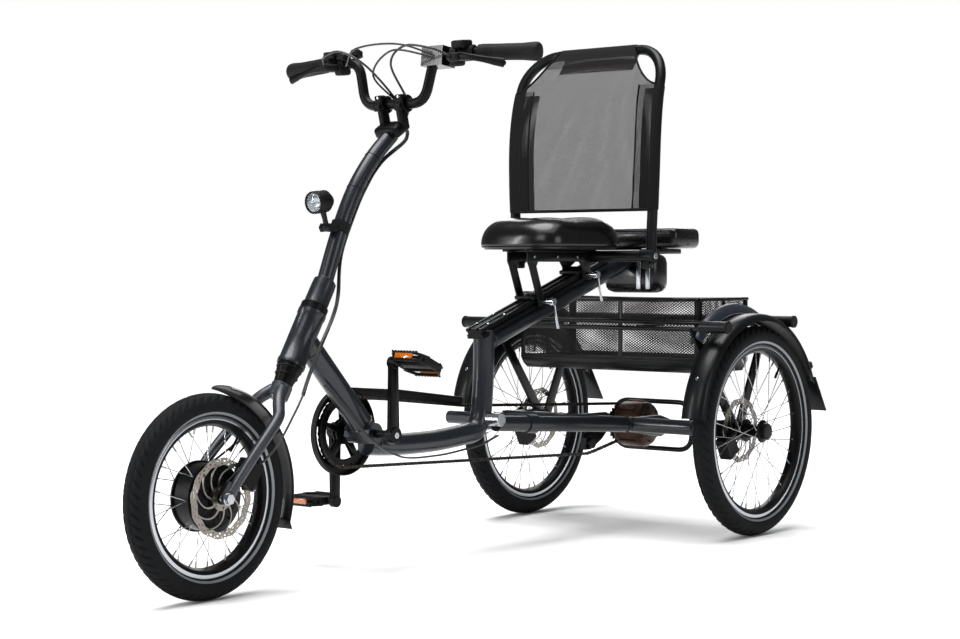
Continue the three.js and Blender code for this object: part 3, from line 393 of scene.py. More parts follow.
class TricycleSizes(bpy.types.PropertyGroup):
    tread_depth: FloatProperty(name="Tread depth", description="Depth of the grooves in the tyres",
                               default=0.0026, min=0, max=0.003, unit="LENGTH")
    spoke_radius: FloatProperty(name="Spoke radius", description="Half the thickness of a spoke",
                                default=0.00105, min=0.0005, max=0.002, unit="LENGTH")
    spoke_count: IntProperty(name="Spokes", description="Spokes in each wheel", default=36, min=12,
                             max=48)
    basket_cell: FloatProperty(name="Basket cell", description="Width of one diamond of the basket",
                               default=0.010, min=0.006, max=0.03, unit="LENGTH")
    mesh_pitch: FloatProperty(name="Mesh pitch", description="Spacing of the backrest's threads",
                              default=0.0024, min=0.001, max=0.008, unit="LENGTH")
    saddle_groove: FloatProperty(name="Saddle groove",
                                 description="Depth of the saddle's middle groove",
                                 default=0.005, min=0, max=0.02, unit="LENGTH")


# ---------------------------------------------------------------- operators

class TRICYCLE_OT_finishes(bpy.types.Operator):
    """Make every finish and put them on the frame pieces that stay"""
    bl_idname = "tricycle.finishes"
    bl_label = "Finishes"

    def execute(self, context):
        colours = context.scene.tricycle_colours
        sizes = context.scene.tricycle_sizes
        # Metallic powder coat under clear lacquer: deep, with sharp highlights and fine sparkle.
        tree, skin, place, blend, _ = finish("metallic_powder_coat", colours.frame_paint,
                                             linear("0e1116"),
                                             0.34, 2.5, 0.06, Metallic=0.2, Coat_Weight=0.25,
                                             Specular_Ior_Level=0.35,
                                             Coat_Roughness=0.09)
        flakes(tree, skin, place, blend, 0.9, linear("2a323c"), 0.2)
        # Satin metallic paint: a broad soft highlight with an even fleck.
        tree, skin, place, blend, _ = finish("satin_metallic_paint", colours.fork_paint,
                                             linear("24272b"),
                                             0.38, 2.0, 0.06, Metallic=0.45, Coat_Weight=0.15,
                                             Coat_Roughness=0.2)
        flakes(tree, skin, place, blend, 0.9, linear("474c53"), 0.25)
        # Polyester powder coat, baked: slight orange peel of about 2 mm.
        finish("black_powder_coat", linear("060708"), linear("0b0c0e"), 0.34, 2.2, 0.12,
               Coat_Weight=0.08,
               Coat_Roughness=0.12, Specular_Ior_Level=0.15)
        # Gloss ABS, moulded: smooth, a faint flow drift in the colour.
        finish("gloss_moulded_abs", colours.dome, linear("171c27"), 0.38, 6, 0.04, Coat_Weight=0.1,
               Coat_Roughness=0.2, IOR=1.5)
        # Anodised aluminium, bead blasted: grey sheen over black.
        finish("black_anodised_aluminium", linear("08080a"), linear("0f0f11"), 0.36, 0.8, 0.05,
               Metallic=0.6,
               Specular_Ior_Level=0.2)
        # Machined aluminium: bright, with fine tool marks.
        finish("machined_aluminium", linear("b4b7ba"), linear("9b9fa4"), 0.24, 0.7, 0.03,
               Metallic=1.0)
        # Ground stainless steel: warm grey, heat-tinted.
        finish("ground_stainless_steel", linear("8f8a83"), linear("6f6a64"), 0.3, 0.8, 0.05,
               drift=25,
               Metallic=1.0)
        # Drawn stainless wire: thin, bright and smooth.
        finish("stainless_wire", linear("a9abad"), linear("8d8f92"), 0.25, 1.0, 0.01, Metallic=1.0)
        # Oiled carbon steel: brown film, darker in the grease.
        finish("oiled_brown_steel", linear("4b342a"), linear("2a201b"), 0.42, 3.0, 0.15, drift=18,
               spread=0.12, Metallic=0.8)
        # Hardened steel plates under chain oil: almost black, with patchy shine.
        finish("oiled_dark_steel", linear("211f1e"), linear("34302c"), 0.35, 2.0, 0.08, drift=12,
               Metallic=0.85)
        # Carbon-filled tyre rubber: matt, chalky where it bends.
        finish("tyre_rubber", linear("0a0b0c"), linear("121315"), 0.72, 1.6, 0.25, drift=60,
               spread=0.1,
               Specular_Ior_Level=0.12)
        # Glass-bead tape on the sidewall: pale and flat.
        finish("reflective_tape", linear("6a6e72"), linear("7d8185"), 0.45, 0.8, 0.02, Metallic=0.3)
        # Thermoplastic rubber, moulded with a fine leather grain.
        finish("grip_rubber", linear("050505"), linear("0a0a0b"), 0.62, 1.4, 0.35, spread=0.08,
               Specular_Ior_Level=0.2)
        # Extruded PVC sheath: even and half glossy.
        finish("cable_sheath_pvc", linear("0a0a0b"), linear("121214"), 0.38, 3.0, 0.05)
        # Glass-filled nylon, spark-eroded mould: dull grain of under 1 mm.
        finish("grained_black_nylon", linear("060607"), linear("0c0c0d"), 0.5, 0.9, 0.15,
               spread=0.08,
               Specular_Ior_Level=0.15)
        # Polished polycarbonate housing: near mirror.
        finish("polished_black_housing", linear("040405"), linear("070709"), 0.26, 5.0, 0.03,
               Coat_Weight=0.15,
               Coat_Roughness=0.1, Specular_Ior_Level=0.3)
        # Moulded acrylic reflector over prisms: glassy, with amber depth.
        finish("amber_reflector", linear("c46a08"), linear("8f4503"), 0.15, 2.0, 0.4,
               Coat_Weight=1.0,
               Coat_Roughness=0.03)
        # Vacuum-chromed bowl: a mirror.
        finish("chromed_bowl", linear("d8dadd"), linear("b9bcc0"), 0.08, 4.0, 0.05, Metallic=1.0)
        # Clear moulded polycarbonate: see-through, with sharp glints.
        finish("clear_polycarbonate", linear("f2f6fa"), linear("e6edf2"), 0.05, 8.0, 0.02,
               spread=0.02,
               Transmission_Weight=0.92, IOR=1.58)
        # Grey moulded ABS trim: satin and even.
        finish("grey_moulded_trim", linear("3a3d43"), linear("2e3136"), 0.4, 1.0, 0.03)
        # Vinyl over moulded foam: glossy, with a pebble grain of about 1.5 mm and soft creases.
        tree, skin, place, blend, bump = finish("stretched_black_vinyl", linear("040404"),
                                                linear("080809"),
                                                0.24, 9, 0.15, Coat_Weight=0.2, Coat_Roughness=0.12,
                                                Specular_Ior_Level=0.3)
        pebble = add_node(tree, "ShaderNodeTexVoronoi", {"Vector": place, "Scale": 1 / (1.6 * MM)},
                          feature="DISTANCE_TO_EDGE")
        grain = add_node(tree, "ShaderNodeBump",
                         {"Height": pebble.outputs["Distance"], "Distance": 0.12 * MM,
                                                 "Strength": 0.5, "Normal": bump.outputs["Normal"]})
        tree.links.new(grain.outputs["Normal"], skin.inputs["Normal"])
        # The real weave has a thread every 1.5 mm, too fine to show, so it is drawn coarser.
        pitch = sizes.mesh_pitch / MM
        woven("open_polyester_weave", colours.back_mesh, linear("262224"), pitch, 0.50, 0.58)
        # The doubled weave covers more between its threads, as doubled cloth does, and its threads
        # are darker, which is painted shade of the folds and wraps.
        woven("doubled_weave_with_painted_shade", linear("08080a"), linear("0d0d0f"), pitch, 0.64, 0.7)
        # Woven polyester tape, sewn on: flat black without shine.
        finish("binding_tape", linear("060607"), linear("0b0b0c"), 0.75, 1.5, 0.3,
               Specular_Ior_Level=0.15)

        stays = {
            "black_anodised_aluminium": ("seat_rail", "front_caliper", "rear_caliper_left",
                                         "rear_caliper_right", "chain_tensioner"),
            "grained_black_nylon": ("headlight_bracket",),
            "polished_black_housing": ("display",),
        }
        for finish_name, nodes in stays.items():
            for node in nodes:
                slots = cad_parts[node].data.materials
                slots.clear()
                slots.append(FINISHES[finish_name])
        return {"FINISHED"}


def tread(u, degrees):
    """1 in a groove of the tread, at a place across (-1 to 1) and around the tyre."""
    across = abs(u)
    if across > 0.86 or across < 0.07:
        return 0.0
    chevron = (degrees / 6 + across * 1.5) % 1.0
    if 0.12 < across and chevron < 0.26:
        return 1.0
    return 0.7 if 0.3 < across < 0.38 or 0.56 < across < 0.62 else 0.0


class TRICYCLE_OT_wheels(bpy.types.Operator):
    """Make the tyres, rims, spokes, hubs and brake rotors"""
    bl_idname = "tricycle.wheels"
    bl_label = "Wheels"

    def execute(self, context):
        sizes = context.scene.tricycle_sizes
        self.depth = sizes.tread_depth / MM
        self.wire = sizes.spoke_radius / MM
        self.count = sizes.spoke_count
        self.tyre("front_tyre", "front_wheel", FRONT_RADIUS, 0, FRONT_AXLE)
        self.rim("front_rim", "front_wheel", FRONT_RADIUS, 0, FRONT_AXLE)
        self.motor()
        self.rotor("front_rotor", "front_wheel", 43, 45, FRONT_AXLE)
        for name, side in (("left", 1), ("right", -1)):
            body = f"rear_wheel_{name}"
            self.tyre(f"rear_tyre_{name}", body, REAR_RADIUS, side * HALF_TRACK, REAR_AXLE)
            self.rim(f"rear_rim_{name}", body, REAR_RADIUS, side * HALF_TRACK, REAR_AXLE)
            self.hub(f"rear_hub_{name}", body, side)
            self.rotor(f"rear_rotor_{name}", body, side * 306, side * 308, REAR_AXLE)
        return {"FINISHED"}

    def tyre(self, node, body, radius, middle, centre):
        shape = Shape()
        count, steps = 480, 44
        rows = []
        for i in range(count):
            degrees = 360 * i / count
            row = []
            for k in range(steps + 1):
                angle = math.radians(-52 + 284 * k / steps)
                u = math.cos(angle)
                cut = self.depth * tread(u, degrees) if math.sin(angle) > 0 else 0
                r = radius - SECTION_RADIUS + (SECTION_RADIUS - cut) * math.sin(angle)
                row.append(on_circle(centre, r, degrees, middle + (SECTION_RADIUS - cut) * u))
            rows.append(row)
        shape.grid(rows, close_rows=True)
        # A band of faces on each sidewall takes the reflective tape.
        stripe = {2, 3, steps - 4, steps - 3}
        for i in range(count):
            for k in stripe:
                shape.marks[i * steps + k] = 1
        shape.make(f"{node}_tread", body, ["tyre_rubber", "reflective_tape"], [node], "tyre_rubber",
                   50)

    def rim(self, node, body, radius, middle, centre):
        shape = Shape()
        for side in (1, -1):
            shape.lathe([(radius + r, middle + side * y) for r, y in (
                (-44, 12), (-43.6, 15.2), (-45, 16), (-51.5, 15.8), (-52.5, 12), (-44, 12))],
                        centre, 120)
        shape.mark = 1
        shape.lathe([(radius + r, middle + y) for r, y in (
            (-51.5, -15.2), (-59, -13.6), (-64, -7), (-64.5, 0), (-64, 7), (-59, 13.6),
            (-51.5, 15.2), (-49, 12),
            (-51, 0), (-49, -12), (-51.5, -15.2))], centre, 120)
        # Tyre valve with its cap.
        at = [on_circle(centre, radius - r, 128, middle) for r in (62, 80, 81, 96)]
        shape.tube(at, [2.6, 2.6, 3.6, 3.2], 12)
        shape.make(f"{node}_ring", body, ["machined_aluminium", "black_anodised_aluminium"], [node],
                   "bright_aluminium")

    def spokes(self, shape, flange, flange_half, lacing, radius, middle, centre):
        """Crossed spokes from the two flanges to the rim, each with its nipple."""
        for i in range(self.count):
            side = 1 if i % 2 else -1
            lean = lacing if (i // 2) % 2 else -lacing
            degrees = 360 * i / self.count
            low = on_circle(centre, flange, degrees + lean, middle + side * flange_half)
            high = on_circle(centre, radius - 63, degrees, middle + side * 3)
            shape.tube([low, high], self.wire, 6)
            shape.tube([high.lerp(low, 0.0), high.lerp(low, 14 / (high - low).length)], 2.0, 8)

    def motor(self):
        shape = Shape()
        # Cast shell with a cover screwed on each side.
        shape.lathe([(0, -46), (22, -46), (25, -43), (26, -38), (56, -34), (62, -30), (68, -26),
                     (70, -25),
                     (70, -21), (66, -20), (66, 20), (70, 21), (70, 25), (68, 26), (62, 30),
                     (56, 34),
                     (30, 36), (24, 36.5), (22, 42), (0, 42)], FRONT_AXLE, 96)
        for i in range(8):
            for side in (1, -1):
                foot = on_circle(FRONT_AXLE, 51, 45 * i + 10, side * 34)
                shape.bolt(foot, (0, side, 0), 2.6, 2.5)
        for i in range(24):
            low = on_circle(FRONT_AXLE, 34, 15 * i, 36)
            shape.tube([low, on_circle(FRONT_AXLE, 47, 15 * i, 35)], 0.9, 8)
        shape.mark = 1
        self.spokes(shape, 67, 23, 11, FRONT_RADIUS, 0, FRONT_AXLE)
        shape.cross(FRONT_AXLE, 42, 47, 6.4)
        shape.make("front_motor_hub_shell", "front_wheel",
                   ["black_anodised_aluminium", "stainless_wire"],
                   ["front_motor_hub"], "black_aluminium")

    def hub(self, node, body, side):
        shape = Shape()
        profile = [(0, 80), (10, 80), (10, 312), (20, 312.5), (21, 318), (26, 319.5), (27.5, 321),
                   (27, 324),
                   (18, 326), (16, 335), (15.5, 345), (16, 355), (18, 364), (27, 366),
                   (27.5, 368.5),
                   (26, 370.5), (21, 372), (20, 382), (18, 384), (8, 384.6), (0, 384.6)]
        shape.lathe([(r, side * y) for r, y in profile], REAR_AXLE, 72)
        for i in range(5):
            shape.bolt(on_circle(REAR_AXLE, 13, 72 * i, side * 383), (0, side, 0), 1.8, 2)
        shape.mark = 1
        self.spokes(shape, 25, 22.5, 50, REAR_RADIUS, side * HALF_TRACK, REAR_AXLE)
        shape.make(f"{node}_shell", body, ["black_anodised_aluminium", "stainless_wire"], [node],
                   "black_aluminium")

    def rotor(self, node, body, y0, y1, centre):
        """Disc brake rotor: a drilled ring with a waved edge, on ten curved arms."""
        shape = Shape()
        radii = [64, 66.5, 69, 71.5, 74, 76.5, 79.6]
        # For some of the rings between the radii, the steps out of every six that are drilled.
        drilled = {1: (0, 1), 3: (2, 3), 4: (5,)}
        count, depth = 144, 1.3
        middle = (y0 + y1) / 2
        bm = bmesh.new()
        grid = []
        for i in range(count):
            degrees = 360 * i / count
            wave = depth * math.sin(math.radians(12 * degrees))
            change = {radii[0]: wave, radii[-1]: wave - depth}
            grid.append([bm.verts.new(on_circle(centre, r + change.get(r, 0), degrees, middle))
                         for r in radii])
        for i in range(count):
            for k in range(len(radii) - 1):
                if i % 6 not in drilled.get(k, ()):
                    j = (i + 1) % count
                    bm.faces.new((grid[i][k], grid[i][k + 1], grid[j][k + 1], grid[j][k]))
        for arm in range(10):
            rows = []
            for step in range(9):
                t = step / 8
                r = 20 + 46 * t
                degrees = 36 * arm + 48 * t - 8 * math.sin(math.pi * t)
                half = 2.6 - 0.7 * math.sin(math.pi * t)
                spread = math.degrees(half / r)
                rows.append([bm.verts.new(on_circle(centre, r, degrees + s * spread, middle))
                             for s in (-1, 1)])
            for a, b in zip(rows, rows[1:]):
                bm.faces.new((a[0], a[1], b[1], b[0]))
        bmesh.ops.recalc_face_normals(bm, faces=bm.faces[:])
        bmesh.ops.solidify(bm, geom=bm.faces[:], thickness=abs(y1 - y0))
        shape.absorb(bm)
        low, high = min(y0, y1), max(y0, y1)
        shape.lathe([(12, low), (24, low), (24, high), (12, high), (12, low)], centre, 60)
        outer = y1 if abs(y1) > abs(y0) else y0
        way = 1 if outer > 0 else -1
        for i in range(6):
            shape.bolt(on_circle(centre, 20, 60 * i + 12, outer), (0, way, 0), 2.6, 2)
        shape.make(f"{node}_disc", body, ["ground_stainless_steel"], [node], "rotor_steel")


class TRICYCLE_OT_frame(bpy.types.Operator):
    """Make the painted frame tubes with their welds"""
    bl_idname = "tricycle.frame"
    bl_label = "Frame"

    def execute(self, context):
        shape = Shape()
        # Head tube with a collar at each end.
        heads = [448, 456, 458, 545, 547, 555]
        shape.tube([on_head(z) for z in heads], [30, 30, 28.5, 28.5, 30, 30], 56)
        # Down tube, then the low tube that turns up into the seat tube.
        shape.tube([(-280, 0, 495), (-468, 0, 296)], 25, 48)
        low = bent([(-462, 0, 272), (-560, 0, 264), (-700, 0, 264), (-848, 0, 276), (-861, 0, 400),
                    (-861, 0, 506)], 80, 12)
        shape.tube(low, 24, 48)
        shape.cross(CRANK, -36, 36, 23, 48)
        shape.tube([beam(-849), beam(-1424), beam(-1430)], [20, 20, 18.5], 48)
        # Gusset under the head tube, and the weld beads.
        shape.plate([(-300, 440), (-300, 475), (-330, 440), (-345, 405)], -6, 6)
        down = Vector((-196, 0, -207))
        for centre, axis, radius in (((-296, 0, 478), down, 25), ((-447, 0, 318), down, 25),
                                     ((-486, 0, 272), (-98, 0, -12), 24),
                                     (beam(-884), (-1, 0, BEAM_SLOPE), 20)):
            shape.ring(centre, axis, radius, 1.8)
        shape.make("main_frame_tubes", "frame", ["metallic_powder_coat"], ["main_frame"],
                   "frame_paint")

        rear = Shape()
        tail = (-1305, 267)
        rear.cross(tail, -284, 284, 18, 40)
        for side in (1, -1):
            rear.tube([(-868, side * 30, 293), (tail[0], side * 100, tail[1])], 18.5, 40)
            rear.tube([(-960, side * 44.6, 287.5), (-961, side * 44.7, 287.5),
                       (-989, side * 49.2, 285.7),
                       (-990, side * 49.3, 285.6)], [20, 22, 22, 20], 40)
            rear.plate([(-1290, 250), (-1290, 284), (-1462, 278), (-1494, 262), (-1494, 244),
                        (-1462, 229)],
                       side * 283 - 4, side * 283 + 4, 1.5)
            rear.plate([(-1290, 252), (-1290, 282), (-1455, 280), (-1496, 268), (-1496, 238),
                        (-1455, 226)],
                       side * 84 - 4, side * 84 + 4, 1.5)
            rear.cross(REAR_AXLE, side * 82, side * 287, 16, 40)
            rear.ring((tail[0] + 18, side * 98, tail[1] + 1), (-437, side * 70, -26), 18.5, 1.8)
        boss = (-852, 303)
        rear.cross(boss, -95, 24, 15, 40)
        rear.mark = 1
        rear.cross(boss, 22, 60, 15, 40)
        rear.make("rear_frame_tubes", "frame", ["metallic_powder_coat", "machined_aluminium"],
                  ["rear_frame"],
                  "frame_paint")

        rail = Shape()
        for x in (-870, -930, -1300):
            for y in (-16, 16):
                foot = beam(x, 44.6)
                rail.bolt((foot.x, y, foot.z), (BEAM_SLOPE, 0, 1), 3.2, 2.4)
        for y in (-5, 5, 17.5, -17.5):
            a, b = beam(-842, 44.6), beam(-1328, 44.6)
            rail.tube([(a.x, y, a.z), (b.x, y, b.z)], 0.9, 8)
        rail.make("seat_rail_bolts", "frame", ["machined_aluminium"], slot="bright_aluminium")
        return {"FINISHED"}


class TRICYCLE_OT_carrier(bpy.types.Operator):
    """Make the black rear carrier, the drive guard, the mudguards and the wheel covers"""
    bl_idname = "tricycle.carrier"
    bl_label = "Carrier and mudguards"

    def execute(self, context):
        shape = Shape()
        front, rear, tube = (-1275, 508), (-1610, 514), 14
        front_half, rear_half = 392, 372
        shape.cross(rear, -rear_half, rear_half, tube, 40)
        for side in (1, -1):
            shape.cross(front, side * 320, side * front_half, tube, 40)
            shape.block((front[0] - 11, side * 325, 509), (26, 8, 24), edge=2)
        for x, z in ((front[0], front[1] - 6), (front[0] - 20, front[1] + 9)):
            shape.cross((x, z), -330, 330, 5.5, 20)
        for side in (1, -1):
            y0, y1 = side * 294 - 3.5, side * 294 + 3.5
            shape.plate([(-1261, 505), (-1289, 505), (-1480, 262), (-1452, 250)], y0, y1, 1.5)
            shape.plate([(-1596, 510), (-1624, 510), (-1500, 255), (-1470, 262)], y0, y1, 1.5)
            shape.cross(REAR_AXLE, y0, y1, 26, 40)
        for y in (150, -150):
            shape.block((-1311, y, 508), (72, 30, 4), edge=1)
            shape.block((-1588, y, 508), (44, 30, 4), edge=1)
        shape.mark = 1
        for centre, half in ((front, front_half), (rear, rear_half)):
            for side in (1, -1):
                shape.tube([(centre[0], side * y, centre[1])
                            for y in (half - 1, half + 4, half + 6)],
                           [15, 15, 12], 40)
        shape.make("rear_carrier_tubes", "frame", ["black_powder_coat", "grained_black_nylon"],
                   ["rear_carrier"], "black_paint")

        hoop = Shape()
        hoop.tube(bent([(-1550, 0, 306), (-1550, 116, 306), (-1550, 116, 186), (-1550, -116, 186),
                        (-1550, -116, 306), (-1550, 0, 306)], 42, 12), 6.5, 20, caps=False)
        for side in (1, -1):
            hoop.tube([(-1489, side * 116, 253), (-1550, side * 116, 253)], 6, 20)
        hoop.make("drive_guard_tube", "frame", ["black_powder_coat"], ["drive_guard_hoop"],
                  "black_paint")

        for name, side in (("left", 1), ("right", -1)):
            self.guard(name, side)
        front = Shape()
        front.lathe([(211, -30), (214, -30.4), (218, -25), (220, -15), (220.6, 0), (220, 15),
                     (218, 25),
                     (214, 30.4), (211, 30), (211, 28.6), (216, 23), (218, 13), (218.4, 0),
                     (218, -13),
                     (216, -23), (211, -28.6), (211, -30)], FRONT_AXLE, 60, 102, 200)
        front.block((-206, 0, 131), (3.4, 56, 24), 0.35, 1.2)
        for side in (1, -1):
            front.tube(bent([(-6, side * 52, 232), (-120, side * 34, 300), (-176, side * 29, 322)],
                            20), 2.4, 12)
        front.make("front_mudguard_shell", "steering", ["black_powder_coat"], ["front_mudguard"],
                   "black_paint")
        return {"FINISHED"}

    def guard(self, name, side):
        shape = Shape()
        outer = [(259, 313), (266, 314), (272, 319), (276, 328), (277.5, 345), (276, 362),
                 (272, 371),
                 (266, 376), (259, 377)]
        inner = [(r - (2.4 if 315 < y < 375 else 0), y + (1.6 if y < 345 else -1.6)) for r,
                 y in outer]
        ring = outer + inner[::-1]
        shape.lathe([(r, side * y) for r, y in ring + ring[:1]], GUARD_CENTRE, 90, 8, 158)
        shape.block((-1743, side * 345, 330), (4, 62, 104), math.atan2(52, 80), 1.5)
        for x, z in ((-1735, 352), (-1722, 402)):
            shape.block((x - 6, side * 345, z), (10, 26, 18), 0.6, 2)
        shape.mark = 1
        for spot in (28, 150):
            shape.bolt(on_circle(GUARD_CENTRE, 276.5, spot, side * 345),
                       on_circle((0, 0), 1, spot), 4, 2.5)
        shape.make(f"rear_mudguard_{name}_shell", "frame",
                   ["black_powder_coat", "machined_aluminium"],
                   [f"rear_mudguard_{name}"], "black_paint")

        cover = Shape()
        root = 262
        profile = [(root, 277), (276, 277.5), (288, 280), (296, 285), (301, 292), (299, 300),
                   (290, 308),
                   (278, 313), (276, 311), (288, 305), (296, 298), (298, 292), (293, 287),
                   (286, 282.5),
                   (274, 280), (root, 279.5), (root, 277)]

        def swell(degrees):
            """How the radii change, so that the cover rises out of both ends of its arc."""
            share = max(0.0, math.sin(math.pi * (degrees - 49) / 71)) ** 0.3
            return lambda r: root + (r - root) * (0.35 + 0.65 * share)

        cover.lathe([(r, side * y) for r, y in profile], GUARD_CENTRE, 72, 51, 118, swell)
        cover.make(f"wheel_cover_{name}_shell", "frame", ["gloss_moulded_abs"],
                   [f"wheel_cover_{name}"],
                   "cover_gloss", 60)


class TRICYCLE_OT_basket(bpy.types.Operator):
    """Make the basket: a diamond mesh between black borders, with a rolled rim that sags a little"""
    bl_idname = "tricycle.basket"
    bl_label = "Basket"

    def execute(self, context):
        cell = context.scene.tricycle_sizes.basket_cell / MM
        shape = Shape()
        front, rear, half = BASKET["front"], BASKET["rear"], BASKET["half"]
        low, high = BASKET["low"], BASKET["high"]
        inset = 24

        def wall(x, z0, z1):
            return lambda u, v: (x
                                 - math.copysign(5, x - (front + rear) / 2) * math.sin(math.pi * v)
                                 * (1 - (u / half) ** 2) * 0.8, u, z0 + (z1 - z0) * v)

        height = high - low - 41
        for x, u0, u1 in ((front, -half + 12, 33), (front, 47, half - 12),
                          (rear, -half + 12, half - 12)):
            self.diamonds(shape, wall(x, low + 34, high - 7), u0, u1, height, cell)
        for side in (1, -1):
            self.diamonds(shape, lambda u, v, s=side: (u, s * half, low + 34 + height * v),
                          rear + 12, front - 12, height, cell)
            self.diamonds(shape, lambda u, v: (rear + inset + 10 + 150 * v, u, low + 1.5),
                          *sorted((side * 8, side * (half - 12))), 150, cell)
        shape.mark = 1
        self.borders(shape, front, rear, half, low, high, inset)
        shape.make("basket_mesh", "frame", ["grained_black_nylon", "black_powder_coat"], ["basket"],
                   "plastic_black")
        return {"FINISHED"}

    def diamonds(self, shape, place, u0, u1, height, cell):
        """An expanded-metal panel: each cell is a frame of four strands."""
        rows = max(2, round(height / (cell * 0.62)))
        columns = max(2, round((u1 - u0) / cell))
        du, dv = (u1 - u0) / columns, 1 / rows
        strand = 0.8
        bm = bmesh.new()
        for j in range(rows * 2 - 1):
            for i in range(columns - (j % 2)):
                u = u0 + du * (i + 0.5 + 0.5 * (j % 2))
                v = dv * (0.5 + 0.5 * j)
                ring = []
                for shrink in (1.0, 1 - strand / 3.0):
                    ring.append([bm.verts.new(place(u + du / 2 * shrink * a,
                                                    v + dv / 2 * shrink * b))
                                 for a, b in ((1, 0), (0, 1), (-1, 0), (0, -1))])
                for k in range(4):
                    n = (k + 1) % 4
                    bm.faces.new((ring[0][k], ring[0][n], ring[1][n], ring[1][k]))
        bmesh.ops.remove_doubles(bm, verts=bm.verts[:], dist=0.05)
        bmesh.ops.recalc_face_normals(bm, faces=bm.faces[:])
        bmesh.ops.solidify(bm, geom=bm.faces[:], thickness=0.9)
        shape.absorb(bm)

    def borders(self, shape, front, rear, half, low, high, inset):
        middle = (front + rear) / 2

        def sag(y):
            return -3.0 * (1 - (y / half) ** 2)

        for x, posts in ((front + 1, (-half + 6, 40, half - 6)), (rear - 1, (-half + 6, half - 6))):
            ys = [-half + 2 * half * i / 24 for i in range(25)]
            shape.tube([(x, y, high - 4 + sag(y)) for y in ys], 4, 16)
            for z in (low + 33, low + 27):
                shape.tube([(x, -half, z), (x, half, z)], 2.4, 12)
            for y in posts:
                shape.block((x, y, (low + high) / 2 + 10), (2.6, 13, high - low - 36), edge=1)
        for side in (1, -1):
            y = side * (half + 0.5)
            shape.tube([(front, y, high - 4), (middle, y, high - 4), (rear, y, high - 4)], 4, 16)
            for x in (front - 6, middle, rear + 6):
                shape.block((x, y, (low + high) / 2 + 10), (13, 2.6, high - low - 36), edge=1)
            shape.plate([(rear, low + inset + 8), (rear, low + inset), (rear + inset, low),
                         (front - inset, low), (front, low + inset), (front, low + inset + 8)],
                        y - 1.3, y + 1.3, 0.6)
        # Solid lower band, folded under to the floor.
        for x, step in ((front, -1), (rear, 1)):
            rows = []
            for px, pz in ((x, low + 33), (x, low + inset), (x + step * 8, low + 12),
                           (x + step * inset, low),
                           (x + step * (inset + 12), low)):
                rows.append([(px, -half + 2 * half * i / 12, pz) for i in range(13)])
            bm = bmesh.new()
            lines = [[bm.verts.new(p) for p in row] for row in rows]
            for a, b in zip(lines, lines[1:]):
                for i in range(12):
                    bm.faces.new((a[i], a[i + 1], b[i + 1], b[i]))
            bmesh.ops.recalc_face_normals(bm, faces=bm.faces[:])
            bmesh.ops.solidify(bm, geom=bm.faces[:], thickness=1.6)
            shape.absorb(bm)
        shape.block((middle, 0, low + 1.5), (150, 16, 2.4), edge=1)


